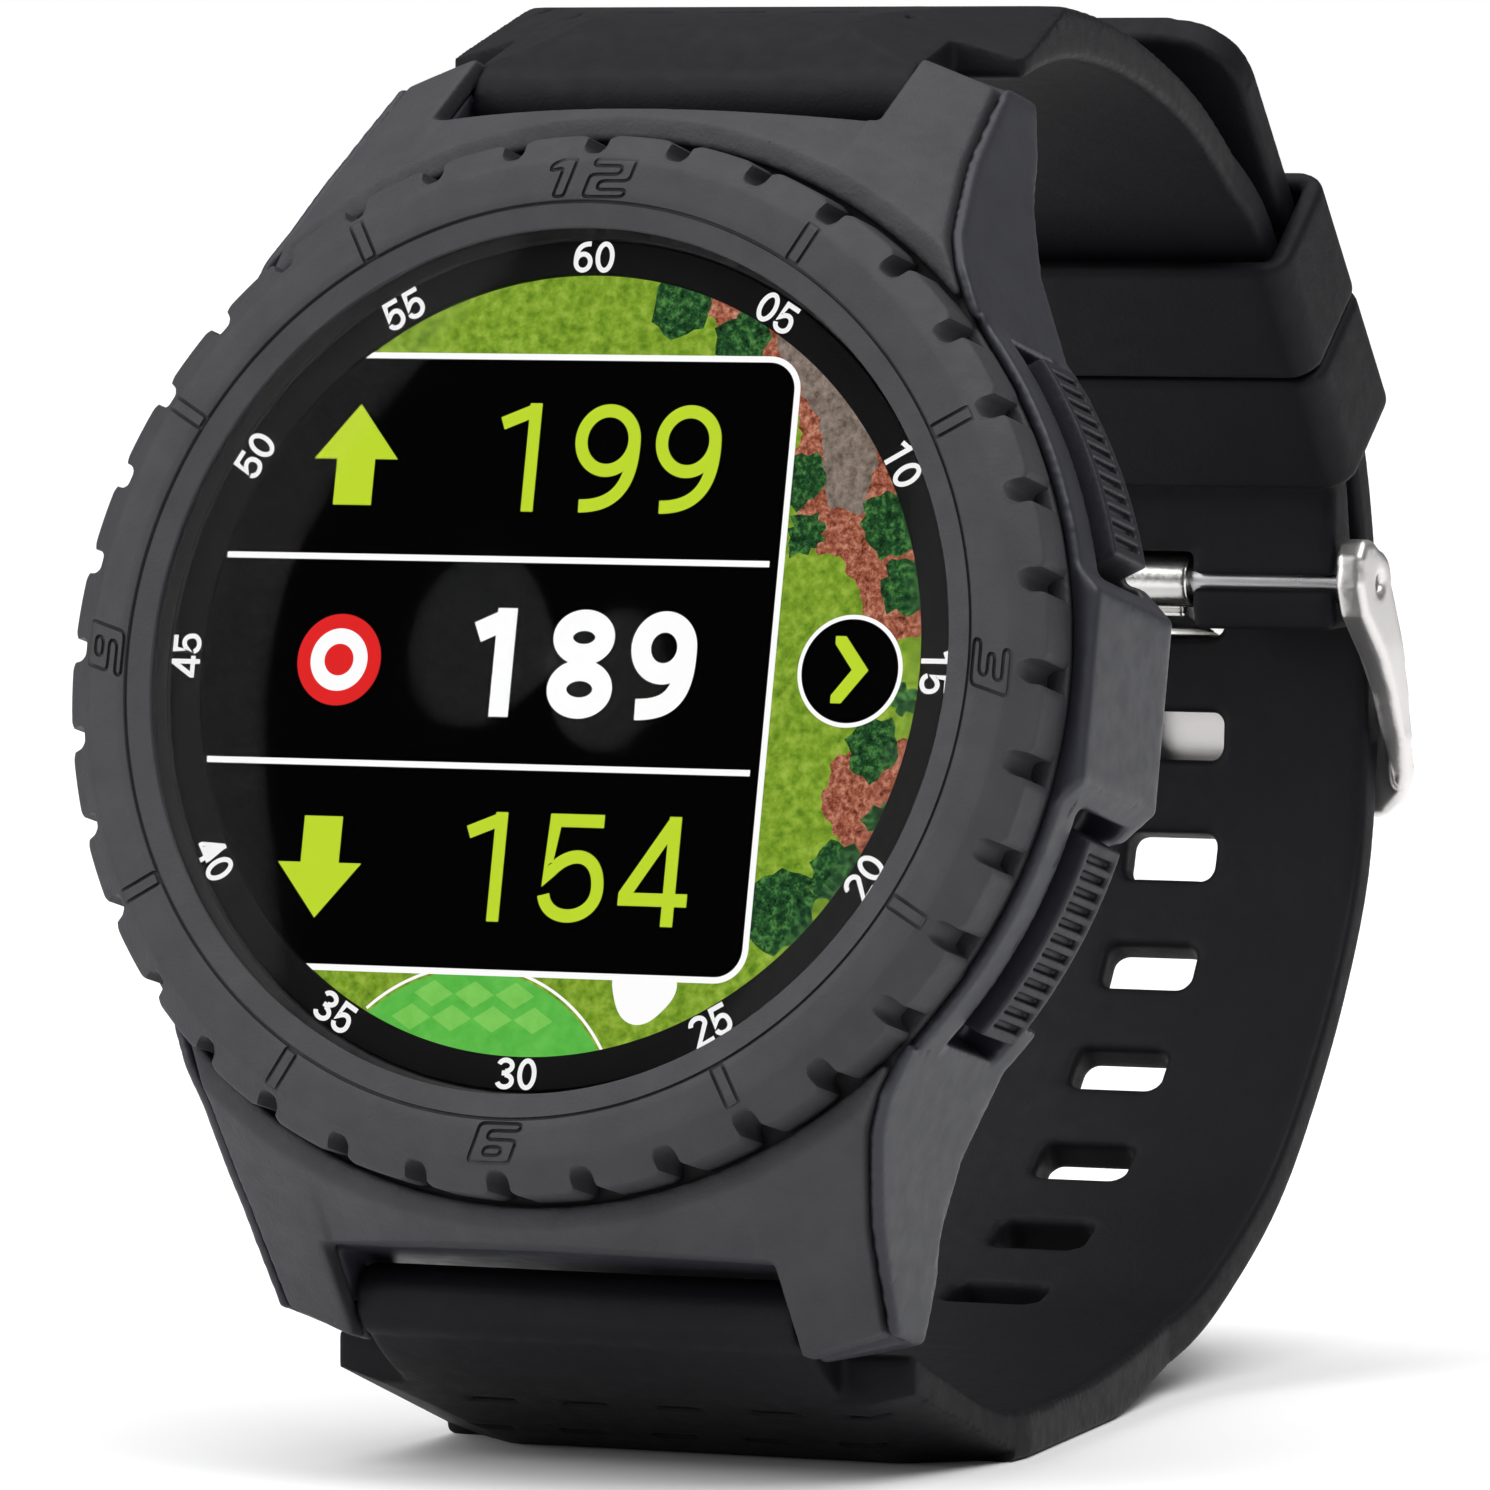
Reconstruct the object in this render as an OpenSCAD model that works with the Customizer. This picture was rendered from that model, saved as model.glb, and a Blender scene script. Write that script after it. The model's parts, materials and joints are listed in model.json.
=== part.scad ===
// Golf GPS watch: round case with a notched turning bezel, two side pushers
// and a rubber strap that is closed by a pin buckle and two keepers.
//
// Two frames are used. The row frame has +Z up, the dial looking towards -Y and
// +X on the three o'clock side. The face frame lies in the dial: x to three
// o'clock, y to twelve o'clock, z out of the dial, with z = 0 on the display.

/* [Pose] */
// Angle by which the dial leans back from upright, in degrees
lean = 12.7; // [0:0.1:20]
// Height of the dial centre above the ground
dial_height = 36.85; // [36.5:0.05:37.5]
// Sideways place of the dial centre in the row frame
dial_x = -0.25; // [-2:0.05:2]
// Front to back place of the dial centre in the row frame
dial_y = -35.18; // [-40:0.02:-30]

/* [Case] */
// Radius of the round body of the case
case_r = 24.4; // [24.2:0.1:25]
// Level of the back edge of the case, below the display
case_back_z = -11.6; // [-12.2:0.1:-11.4]
// Level of the deck under the bezel, below the display
deck_z = -2.35; // [-2.6:0.05:-2.3]
// Radius of the cavity for the works
cavity_r = 19.0; // [18.9:0.05:19.1]
// Half of the gap between a pair of lugs
lug_gap = 11.1; // [11:0.05:11.4]
// Distance of a strap bar from the middle of the case
bar_y = 27.6; // [27.2:0.1:28]
// Level of the strap bars, below the display
bar_z = -9.5; // [-9.8:0.1:-9]

/* [Display] */
// Radius of the lit display
display_r = 17.65; // [17:0.05:17.7]
// Radius of the cover glass
glass_r = 19.9; // [19.8:0.05:19.9]
// Thickness of the cover glass
glass_t = 1.0; // [0.8:0.05:1.05]

/* [Bezel] */
// Outer radius of the turning bezel
bezel_r = 23.9; // [23.5:0.1:24]
// Number of grip notches round the bezel
notch_count = 36; // [24:12:60]
// Radius of one grip notch
notch_r = 0.62; // [0.4:0.02:0.7]

/* [Pushers] */
// Angle of each pusher above and below three o'clock
pusher_angle = 26.2; // [25:0.1:27]
// Half of a pusher's length
pusher_half = 4.9; // [4:0.1:5]
// Travel of a pusher
pusher_travel = 0.8; // [0.5:0.05:0.9]
// Number of grip ribs on a pusher
rib_count = 12; // [8:1:14]

/* [Strap] */
// Half width of the strap beside the lugs
strap_wide = 14.35; // [14:0.05:15]
// Half width of the strap at the buckle
strap_narrow = 10.2; // [10:0.05:10.4]
// Distance between two adjustment slots along the strap
slot_pitch = 6.23; // [6:0.1:6.6]
// Width of an adjustment slot across the strap
slot_w = 4.8; // [4.4:0.1:6]
// Height of an adjustment slot along the strap
slot_h = 2.4; // [2.2:0.05:2.5]
// Length of a keeper along the strap
keeper_len = 7.0; // [5:0.1:7]

/* [Buckle] */
// Half of the space between the buckle's side rails
rail_gap = 10.7; // [10.6:0.05:10.8]
// Thickness of a side rail
rail_t = 1.5; // [1.4:0.1:1.6]

/* [Hidden] */
$fn = 96;

// Case
flange_inset = 0.7;      // step between the top shell and the flank of the middle case
part_gap = 0.05;         // assembly gap between fixed pieces
shell_t = 1.65;          // thickness of the top shell's deck
collar_r = 20.4;         // outside of the collar that the bezel turns on
collar_top = 1.0;
well_r = 19.2;           // hole of the collar under the glass
end_wall_y = 25.7;       // end wall of the case between two lugs
lug_end_y = 29.5;
front_z = -1.4;          // front of the case round the bezel
front_flat_r = 25.2;     // where the front starts to fall to the lugs
under_flat_r = 24.4;
bezel_well_r = 24.1;
side_rim_z = -2.2;       // front of the case beside three and nine o'clock
field_half = 10.6;       // half width of the sunk fields between the lugs
guard_x = 24.85;          // flat face between the pushers
screw_ring_r = 21.0;
screw_angles = [45, 135, 225, 315];
cover_r = 22.3;
cover_t = 1.0;
plateau_r = 15.0;
plateau_t = 0.7;
gasket_r = [19.3, 19.8];

// Bezel
bore_r = 20.45;          // bezel bore: 0.05 clear of the collar
lip_r = 19.5;
bezel_top = 1.7;
bezel_foot = -2.2;
snap_z = [-1.5, -0.9];

// Pushers, along their own axis from the middle of the case
pusher_z = -7.2;
pusher_h = 3.7;
cap_r = [23.05, 24.95];
pocket_r = 21.55;
pocket_half = 5.9;
pocket_h = 5.2;
stem_r = 0.9;
stem_bore_r = 0.95;
stem_end = 19.6;
seal_span = [20.0, 20.8];

// Strap and buckle, in the side plane: [y, z] from the dial centre, row axes
bar_r = 0.9;
bar_bore_r = 0.96;
tip_r = 0.42;
tip_bore_r = 0.46;
tab_r = 1.65;
keeper_foot = [66.8, 6.35];    // foot of the straight stretch under the keepers
keeper_lean = 50.7;            // angle of that stretch from the level
strap_t = 1.9;                 // thickness of the strap under the keepers
tail_off = 4.2;                // middle of the tail above the strap's inner face
tail_tip = 25.2;               // end of the tail beyond the foot
buckle_at = [68.2, 1.2];       // axis of the buckle's bar
upper_taper = [20, 54];        // stretches over which the halves narrow
lower_taper = [20, 46.3];
barrel_half = 2.4;             // half length of the tongue's barrel
barrel_r = 1.35;
keeper_wall = 1.1;
keeper_hollow = [-0.2, 5.4];   // inside of a keeper, from the strap's inner face

along = [-cos(keeper_lean), sin(keeper_lean)];
across = [sin(keeper_lean), cos(keeper_lean)];
eps = 0.01;

// ---------------------------------------------------------------- frames

// Puts a child that is drawn in the face frame into the row frame.
module face_frame() {
    translate([dial_x, dial_y, dial_height])
        rotate([90 - lean, 0, 0])
            children();
}

// Puts a child that is drawn from the dial centre with row axes into the row frame.
module side_frame() {
    translate([dial_x, dial_y, dial_height])
        children();
}

// Extrudes a side outline, [y, z], evenly along X.
module side_slab(half_width) {
    rotate([90, 0, 90])
        linear_extrude(height = 2 * half_width, center = true)
            children();
}

// A point of the face frame as [y, z] from the dial centre, with row axes.
function to_side(y, z) = [
    y * sin(lean) - z * cos(lean),
    y * cos(lean) + z * sin(lean)
];

// A point on the straight stretch: s along it, h above the strap's inner face.
function keeper_point(s, h) = keeper_foot + s * along + h * across;

// ---------------------------------------------------------------- curved bands

function with_t(p, t) = [p[0], p[1], t];

// Smooth curve through four rows, for u from 0 to 1 between the middle two.
function blend4(a, b, c, d, u) =
    0.5 * (2 * b + (c - a) * u + (2 * a - 5 * b + 4 * c - d) * u * u
        + (3 * b - a - 3 * c + d) * u * u * u);

function smooth_rows(rows, steps) = [
    for (i = [0 : len(rows) - 2])
        for (k = [0 : steps - 1])
            blend4(rows[max(i - 1, 0)], rows[i], rows[i + 1],
                rows[min(i + 2, len(rows) - 1)], k / steps),
    rows[len(rows) - 1]
];

function direction(a, b) = (b - a) / norm(b - a);
function flat2(r) = [r[0], r[1]];
function tangent(line, i) = direction(
    flat2(line[max(i - 1, 0)]), flat2(line[min(i + 1, len(line) - 1)]));
function normal(line, i) = [-tangent(line, i)[1], tangent(line, i)[0]];

// Outline of a band that follows a line of [y, z, thickness] rows.
function band_outline(line) = concat(
    [for (i = [0 : len(line) - 1]) flat2(line[i]) + normal(line, i) * line[i][2] / 2],
    [for (i = [len(line) - 1 : -1 : 0]) flat2(line[i]) - normal(line, i) * line[i][2] / 2]
);

function step_len(line, i) = norm(flat2(line[i + 1]) - flat2(line[i]));
function length_to(line, i) = i <= 0 ? 0 : length_to(line, i - 1) + step_len(line, i - 1);

// Index of the piece of the line that holds the distance s.
function piece_at(line, s, i = 0, run = 0) =
    i >= len(line) - 2 || run + step_len(line, i) > s
        ? [i, s - run]
        : piece_at(line, s, i + 1, run + step_len(line, i));

function place_at(line, s) = let (p = piece_at(line, s))
    flat2(line[p[0]]) + p[1] * direction(flat2(line[p[0]]), flat2(line[p[0] + 1]));
function angle_at(line, s) = let (p = piece_at(line, s),
    d = direction(flat2(line[p[0]]), flat2(line[p[0] + 1]))) atan2(d[1], d[0]);

upper_bar_at = to_side(bar_y, bar_z);
lower_bar_at = to_side(-bar_y, bar_z);

upper_line = smooth_rows([
    with_t(upper_bar_at, 2 * tab_r - 0.4),
    [17.4, 26.9, 3.1],
    [21.4, 27.75, 2.8],
    [27.5, 27.95, 2.4],
    [36.2, 27.0, 2.1],
    [45.2, 24.95, 1.9],
    [51.4, 22.65, 1.9],
    with_t(keeper_point(16.2, strap_t / 2), strap_t),
    with_t(keeper_point(11, strap_t / 2), strap_t),
    with_t(keeper_point(5.5, strap_t / 2), strap_t),
    with_t(keeper_point(0, strap_t / 2), strap_t),
    [68.1, 4.0, 2.4],
    with_t(buckle_at, 3.0),
    [68.3, -1.1, 2.8]
], 5);

lower_line = smooth_rows([
    with_t(lower_bar_at, 2 * tab_r - 0.4),
    [5.8, -31.4, 2.3],
    [10.2, -33.4, 2.5],
    [15.5, -35.42, 2.7],
    [21.0, -36.0, 2.8],
    [26.0, -36.0, 2.8],
    [31.0, -35.9, 2.8],
    [40.3, -35.1, 2.5],
    [48.6, -33.75, 2.2],
    [54.5, -31.3, 2.1],
    [59.8, -28.1, 2.0],
    [64.1, -24.0, 1.9],
    [68.1, -19.0, 1.8],
    [71.2, -13.3, 1.8],
    [72.3, -7.0, 1.8],
    [72.4, -1.6, 1.8],
    [71.9, 3.4, 1.8],
    with_t(keeper_point(0, tail_off), 1.9),
    with_t(keeper_point(6, tail_off), 1.9),
    with_t(keeper_point(12, tail_off), 1.9),
    with_t(keeper_point(18, tail_off), 1.9),
    with_t(keeper_point(tail_tip, tail_off), 1.8)
], 5);

slot_zero = length_to(lower_line, 15 * 5) + 1.05;

// ---------------------------------------------------------------- case

// Plan of a pair of lugs on the +y side, with the flanks drawn in by inset and the
// ends drawn out by reach.
module lug_plan(inset, reach) {
    edge = [
        [20.7 - inset, 12.9], [18.4 - inset, 16.0], [16.75 - inset, 20.0],
        [15.9 - inset, 24.0], [15.35 - inset, 28.2 + reach], [lug_gap, lug_end_y + reach]
    ];
    polygon(concat(
        edge,
        [for (i = [len(edge) - 1 : -1 : 0]) [-edge[i][0], edge[i][1]]]
    ));
}

module case_plan(inset, reach) {
    circle(r = case_r - inset);
    for (end = [0, 1])
        mirror([0, end])
            lug_plan(inset, reach);
}

// Everything under the front of the case: flat inside flat_r, then a cone that
// falls to the lug tips and lies drop below the case's own.
module front_cone(flat_r, level, drop) {
    rotate_extrude()
        polygon([
            [0, level], [flat_r, level], [27.9, -4.3 - drop],
            [33, -10.3 - drop], [33, -15], [0, -15]
        ]);
}

// Side of the case and lugs, which only shapes the back.
module case_side() {
    for (end = [0, 1])
        mirror([end, 0])
            polygon([
                [0, 0], [40, 0], [40, -6], [29.4, -10.8],
                [28.4, -12.5], [25.4, -12.4], [22.9, case_back_z], [0, case_back_z]
            ]);
}

module case_block(inset, reach) {
    intersection() {
        translate([0, 0, -14])
            linear_extrude(height = 14)
                case_plan(inset, reach);
        side_slab(30)
            case_side();
    }
}

// Room for the bezel, and the lower front beside it.
module bezel_well() {
    translate([0, 0, deck_z])
        cylinder(r = bezel_well_r, h = 6);
    translate([-30, -11.4, side_rim_z])
        cube([60, 22.8, 6]);
}

// Sunk field between the lugs, outside the ring round the bezel.
module sunk_fields() {
    for (end = [-1, 1])
        difference() {
            translate([-field_half, end * 25 - 5, -7])
                cube([2 * field_half, 10, 7]);
            cylinder(r = front_flat_r, h = 30, center = true);
            front_cone(front_flat_r, front_z, 0.35);
        }
}

// Chamfers the round body of the case at the back, and leaves the lugs alone.
module back_chamfer() {
    difference() {
        rotate_extrude()
            polygon([
                [case_r - 1.9, case_back_z - 1], [case_r + 2, case_back_z - 1],
                [case_r + 2, case_back_z + 3.4], [case_r - 0.001, case_back_z + 3.4],
                [case_r - 1.6, case_back_z]
            ]);
        for (end = [-1, 1])
            translate([-30, end * 14 - (end < 0 ? 20 : 0), -16])
                cube([60, 20, 16]);
    }
}

// Clears the space between the lugs where the strap's tab turns.
module lug_spaces() {
    for (end = [-1, 1])
        translate([-lug_gap, end * (end_wall_y + 5) - 5, -14])
            cube([2 * lug_gap, 10, 14]);
}

module tip_holes() {
    for (end = [-1, 1])
        translate([0, end * bar_y, bar_z])
            rotate([0, 90, 0])
                cylinder(r = tip_bore_r, h = 2 * (lug_gap + 1.6), center = true, $fn = 32);
}

// Turns a child that is drawn along +x onto a pusher's axis.
module pusher_frame(side) {
    rotate([0, 0, side * pusher_angle])
        translate([0, 0, pusher_z])
            children();
}

module top_shell() {
    color("#3c3a3c")
        face_frame()
            difference() {
                union() {
                    difference() {
                        intersection() {
                            case_block(flange_inset, 0);
                            front_cone(front_flat_r, front_z, 0);
                        }
                        front_cone(under_flat_r, deck_z - shell_t, shell_t);
                        bezel_well();
                        sunk_fields();
                    }
                    translate([0, 0, deck_z - shell_t])
                        cylinder(r = collar_r, h = collar_top - deck_z + shell_t);
                }
                lug_spaces();
                translate([0, 0, deck_z - shell_t - 1])
                    cylinder(r = well_r, h = 6);
                cylinder(r = glass_r + part_gap, h = 3);
                rotate_extrude()
                    translate([collar_r - 0.45, snap_z[0] - 0.15])
                        square([2, snap_z[1] - snap_z[0] + 0.3]);
            }
}

module guard_block() {
    translate([0, 0, case_back_z + 0.6])
        linear_extrude(height = side_rim_z - case_back_z - 0.5)
            polygon([
                [21, -6.2], [23.4, -5.7], [guard_x, -4.3],
                [guard_x, 4.3], [23.4, 5.7], [21, 6.2]
            ]);
}

module mid_case() {
    color("#3a3b42")
        face_frame()
            difference() {
                union() {
                    difference() {
                        intersection() {
                            case_block(0, 0);
                            front_cone(front_flat_r, front_z - 0.12, 0.12);
                        }
                        back_chamfer();
                    }
                    guard_block();
                }
                bezel_well();
                // seat of the top shell
                difference() {
                    case_block(flange_inset - part_gap, 1);
                    front_cone(under_flat_r, deck_z - shell_t - part_gap, shell_t + part_gap);
                }
                lug_spaces();
                tip_holes();
                translate([0, 0, case_back_z - 1])
                    cylinder(r = cavity_r, h = 12);
                rotate_extrude()
                    translate([gasket_r[0], case_back_z - 1])
                        square([gasket_r[1] - gasket_r[0], 1.5]);
                for (a = screw_angles)
                    rotate([0, 0, a])
                        translate([screw_ring_r, 0, case_back_z - 1])
                            cylinder(r = 1.1, h = 4.2, $fn = 32);
                for (side = [-1, 1])
                    pusher_frame(side) {
                        translate([pocket_r, -pocket_half, -pocket_h / 2])
                            cube([5, 2 * pocket_half, pocket_h]);
                        rotate([0, 90, 0])
                            cylinder(r = stem_bore_r, h = 25, $fn = 48);
                        translate([seal_span[0], 0, 0])
                            rotate([0, 90, 0])
                                cylinder(r = 1.6, h = seal_span[1] - seal_span[0], $fn = 48);
                        translate([18, 0, 0])
                            rotate([0, 90, 0])
                                cylinder(r = 1.6, h = seal_span[0] - 18 + eps, $fn = 48);
                    }
            }
}

module back_cover() {
    color("#2b2b2e")
        face_frame()
            difference() {
                rotate_extrude()
                    polygon([
                        [0, case_back_z + 1.0], [cavity_r - 0.1, case_back_z + 1.0],
                        [cavity_r - 0.1, case_back_z], [cover_r, case_back_z],
                        [cover_r - 0.1, case_back_z - cover_t + 0.4],
                        [cover_r - 0.6, case_back_z - cover_t],
                        [plateau_r + plateau_t, case_back_z - cover_t],
                        [plateau_r, case_back_z - cover_t - plateau_t],
                        [0, case_back_z - cover_t - plateau_t]
                    ]);
                for (a = screw_angles)
                    rotate([0, 0, a])
                        translate([screw_ring_r, 0, case_back_z - 3])
                            cylinder(r = 0.6, h = 4, $fn = 32);
                for (a = screw_angles)
                    rotate([0, 0, a])
                        translate([screw_ring_r, 0, case_back_z - cover_t - 1])
                            cylinder(r = 1.2, h = 1.6, $fn = 32);
                contact_places()
                    translate([0, 0, -3])
                        cylinder(r = contact_r + 0.02, h = 6, $fn = 32);
            }
}

module back_gasket() {
    color("#202022")
        face_frame()
            rotate_extrude()
                translate([gasket_r[0] + 0.05, case_back_z])
                    square([gasket_r[1] - gasket_r[0] - 0.1, 0.45]);
}

module back_screws() {
    color("silver")
        face_frame()
            for (a = screw_angles)
                rotate([0, 0, a])
                    translate([screw_ring_r, 0, case_back_z])
                        back_screw();
}

module back_screw() {
    difference() {
        union() {
            translate([0, 0, -0.95])
                cylinder(r = 1.1, h = 0.5, $fn = 32);
            translate([0, 0, -0.5])
                cylinder(r = 0.52, h = 3.2, $fn = 32);
        }
        translate([0, 0, -1.2])
            cylinder(r = 0.45, h = 0.55, $fn = 6);
    }
}

module screw_inserts() {
    color("goldenrod")
        face_frame()
            for (a = screw_angles)
                rotate([0, 0, a])
                    translate([screw_ring_r, 0, case_back_z + 0.2])
                        difference() {
                            cylinder(r = 1.08, h = 2.8, $fn = 32);
                            translate([0, 0, -1])
                                cylinder(r = 0.54, h = 5, $fn = 32);
                        }
}

// ---------------------------------------------------------------- bezel and glass

module hour_mark() {
    translate([21.7, 0, bezel_top - 0.25])
        difference() {
            translate([-1.05, -0.36, 0])
                cube([2.1, 0.72, 1]);
            translate([-0.87, -0.18, -1])
                cube([1.74, 0.36, 3]);
        }
}

module bezel_ring() {
    color("#403e40")
        face_frame()
            difference() {
                rotate_extrude($fn = 144)
                    polygon([
                        [lip_r, 1.25], [lip_r, 1.4], [20.2, bezel_top],
                        [22.5, bezel_top - 0.1], [bezel_r, 0.4], [bezel_r, -1.9],
                        [bezel_r - 0.3, bezel_foot], [bore_r, bezel_foot],
                        [bore_r, snap_z[0] - 0.15], [bore_r + 0.5, snap_z[0] - 0.15],
                        [bore_r + 0.5, snap_z[1] + 0.15], [bore_r, snap_z[1] + 0.15],
                        [bore_r, 1.15]
                    ]);
                for (i = [0 : notch_count - 1])
                    rotate([0, 0, i * 360 / notch_count])
                        translate([bezel_r - 0.2, 0, -4])
                            cylinder(r = notch_r, h = 8, $fn = 24);
                for (hour = [1, 2, 4, 5, 7, 8, 10, 11])
                    rotate([0, 0, hour * 30])
                        hour_mark();
            }
}

module bezel_snap_ring() {
    color("silver")
        face_frame()
            rotate_extrude()
                translate([collar_r - 0.4, snap_z[0]])
                    square([0.85, snap_z[1] - snap_z[0]]);
}

module cover_glass() {
    color([0.7, 0.75, 0.8, 0.35])
        face_frame()
            translate([0, 0, 0.15])
                rotate_extrude()
                    polygon([
                        [0, 0], [glass_r, 0], [glass_r, glass_t - 0.2],
                        [glass_r - 0.2, glass_t], [0, glass_t]
                    ]);
}

module lens_gasket() {
    color("#101012")
        face_frame()
            rotate_extrude()
                translate([well_r + 0.1, 0])
                    square([glass_r - well_r - 0.1, 0.15]);
}

module dial_ring() {
    color("#0c0c0e")
        face_frame()
            rotate_extrude()
                translate([display_r, -0.25])
                    square([well_r - 0.05 - display_r, 0.35]);
}

module display_module() {
    color("#101418")
        face_frame()
            translate([0, 0, -2.0])
                cylinder(r = 18.6, h = 1.7);
}

// ---------------------------------------------------------------- works

pcb_z = -5.4;
pcb_top = pcb_z + 0.8;
contact_r = 0.9;

module contact_places() {
    for (i = [-1.5 : 1 : 1.5])
        translate([i * 3, -8.6, case_back_z])
            children();
}

module display_flex() {
    color("darkorange")
        face_frame()
            side_slab(4)
                polygon([
                    [-13, -2.02], [-17.0, -2.02], [-17.0, pcb_top + 0.02], [-14, pcb_top + 0.02],
                    [-14, pcb_top + 0.14], [-16.88, pcb_top + 0.14],
                    [-16.88, -2.14], [-13, -2.14]
                ]);
}

module inner_chassis() {
    color("#55585c")
        face_frame()
            difference() {
                union() {
                    translate([0, 0, -3.0])
                        cylinder(r = 18.7, h = 0.8);
                    difference() {
                        translate([0, 0, -10.4])
                            cylinder(r = 18.7, h = 7.5);
                        translate([0, 0, -11])
                            cylinder(r = 17.8, h = 9);
                    }
                }
                translate([-4.4, -17.5, -4])
                    cube([8.8, 5, 3]);
                translate([-8, -8, -4])
                    cube([16, 16, 3]);
                for (side = [-1, 1])
                    pusher_frame(side)
                        translate([14, -3.2, -3.4])
                            cube([8, 6.4, 6.8]);
            }
}

module main_pcb() {
    color("darkgreen")
        face_frame()
            difference() {
                translate([0, 0, pcb_z])
                    cylinder(r = 17.5, h = 0.8);
                for (a = [90, 210, 330])
                    rotate([0, 0, a])
                        translate([16.3, 0, pcb_z - 1])
                            cylinder(r = 0.7, h = 3, $fn = 32);
            }
}

module chip(x, y, w, d, h) {
    translate([x - w / 2, y - d / 2, pcb_top])
        cube([w, d, h]);
}

module pcb_chips() {
    color("#222326")
        face_frame() {
            chip(-3.5, -1, 7, 7, 1.1);
            chip(5, 0, 5.5, 6.5, 1.0);
            chip(-10.5, 5.5, 4, 4, 0.9);
            chip(10.5, -5.5, 4, 3.5, 0.9);
            chip(-9, -8.5, 5, 4, 1.0);
            chip(5, -10, 3, 2.4, 0.8);
            chip(11.5, 5.5, 3, 3, 0.7);
        }
}

module gps_antenna() {
    color("wheat")
        face_frame()
            difference() {
                translate([-4.5, 6.8, pcb_top])
                    cube([9, 9, 1.5]);
                translate([0, 11.3, pcb_top + 1.3])
                    cylinder(r = 0.6, h = 1, $fn = 32);
            }
}

module battery() {
    color("lightsteelblue")
        face_frame()
            translate([-1, 1.0, -10.0])
                linear_extrude(height = 3.7)
                    rounded_plan(24, 19, 1.5);
}

// Rectangle with round corners, drawn with circles and squares.
module rounded_plan(w, d, r) {
    for (sx = [-1, 1])
        for (sy = [-1, 1])
            translate([sx * (w / 2 - r), sy * (d / 2 - r)])
                circle(r = r, $fn = 32);
    square([w - 2 * r, d], center = true);
    square([w, d - 2 * r], center = true);
}

module battery_pad() {
    color("#d8d8d0")
        face_frame()
            translate([-10, -5.5, -10.4])
                cube([18, 13, 0.35]);
}

module vibration_motor() {
    color("silver")
        face_frame()
            translate([0, -13.2, -10.0])
                cylinder(r = 3.7, h = 2.7);
}

module charging_contacts() {
    color("gold")
        face_frame()
            contact_places()
                translate([0, 0, -cover_t - plateau_t + 0.05])
                    cylinder(r = contact_r, h = cover_t + plateau_t + 1.2, $fn = 32);
}

module button_switches() {
    color("#c9c9c4")
        face_frame()
            for (side = [-1, 1])
                pusher_frame(side)
                    difference() {
                        translate([16.6, -2.2, -1.6])
                            cube([1.9, 4.4, 3.2]);
                        translate([18.3, -1.2, -1.0])
                            cube([1, 0.2, 2]);
                    }
}

module button_seals() {
    color("#18181a")
        face_frame()
            for (side = [-1, 1])
                pusher_frame(side)
                    translate([seal_span[0] + 0.05, 0, 0])
                        rotate([0, 90, 0])
                            difference() {
                                cylinder(r = 1.55, h = 0.7, $fn = 48);
                                translate([0, 0, -1])
                                    cylinder(r = stem_r + 0.03, h = 3, $fn = 48);
                            }
}

// ---------------------------------------------------------------- pushers

module pusher_cap() {
    difference() {
        intersection() {
            translate([0, 0, -pusher_h / 2])
                difference() {
                    cylinder(r = cap_r[1], h = pusher_h, $fn = 144);
                    translate([0, 0, -1])
                        cylinder(r = cap_r[0], h = pusher_h + 2, $fn = 144);
                }
            translate([20, -pusher_half, -5])
                cube([6, 2 * pusher_half, 10]);
        }
        for (i = [0 : rib_count - 1])
            rotate([0, 0, (i - (rib_count - 1) / 2) * 1.75])
                translate([cap_r[1] - 0.35, -0.17, -1.35])
                    cube([1, 0.34, 2.7]);
    }
}

module pusher(side) {
    pusher_frame(side) {
        pusher_cap();
        translate([stem_end, 0, 0])
            rotate([0, 90, 0])
                cylinder(r = stem_r, h = cap_r[0] - stem_end + 0.3, $fn = 48);
    }
}

// Clip on the inner end of a stem, in the counterbore behind the wall.
module pusher_clip(side) {
    pusher_frame(side)
        translate([19.5, 0, 0])
            rotate([0, 90, 0])
                difference() {
                    cylinder(r = 1.5, h = 0.4, $fn = 48);
                    translate([0, 0, -1])
                        cylinder(r = stem_r, h = 3, $fn = 48);
                }
}

module upper_button() {
    color("#2c2c30")
        face_frame()
            pusher(1);
}

module upper_button_clip() {
    color("silver")
        face_frame()
            pusher_clip(1);
}

module lower_button() {
    color("#2c2c30")
        face_frame()
            pusher(-1);
}

module lower_button_clip() {
    color("silver")
        face_frame()
            pusher_clip(-1);
}

// ---------------------------------------------------------------- strap

// Spring bar tube on an axis along X.
module bar_tube(at, half, r) {
    side_frame()
        translate([0, at[0], at[1]])
            rotate([0, 90, 0])
                difference() {
                    cylinder(r = r, h = 2 * half, center = true, $fn = 48);
                    cylinder(r = tip_bore_r, h = 2 * half + 2, center = true, $fn = 48);
                }
}

// The two telescopic tips of a spring bar.
module bar_tips(at, inner, outer) {
    side_frame()
        for (side = [0, 1])
            mirror([side, 0, 0])
                translate([inner, at[0], at[1]])
                    rotate([0, 90, 0])
                        cylinder(r = tip_r, h = outer - inner, $fn = 48);
}

module upper_lug_bar() {
    color("silver")
        bar_tube(upper_bar_at, lug_gap - 0.3, bar_r);
}

module lower_lug_bar() {
    color("silver")
        bar_tube(lower_bar_at, lug_gap - 0.3, bar_r);
}

module lug_bar_tips() {
    color("gainsboro") {
        bar_tips(upper_bar_at, lug_gap - 3.5, lug_gap + 1.3);
        bar_tips(lower_bar_at, lug_gap - 3.5, lug_gap + 1.3);
    }
}

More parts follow.
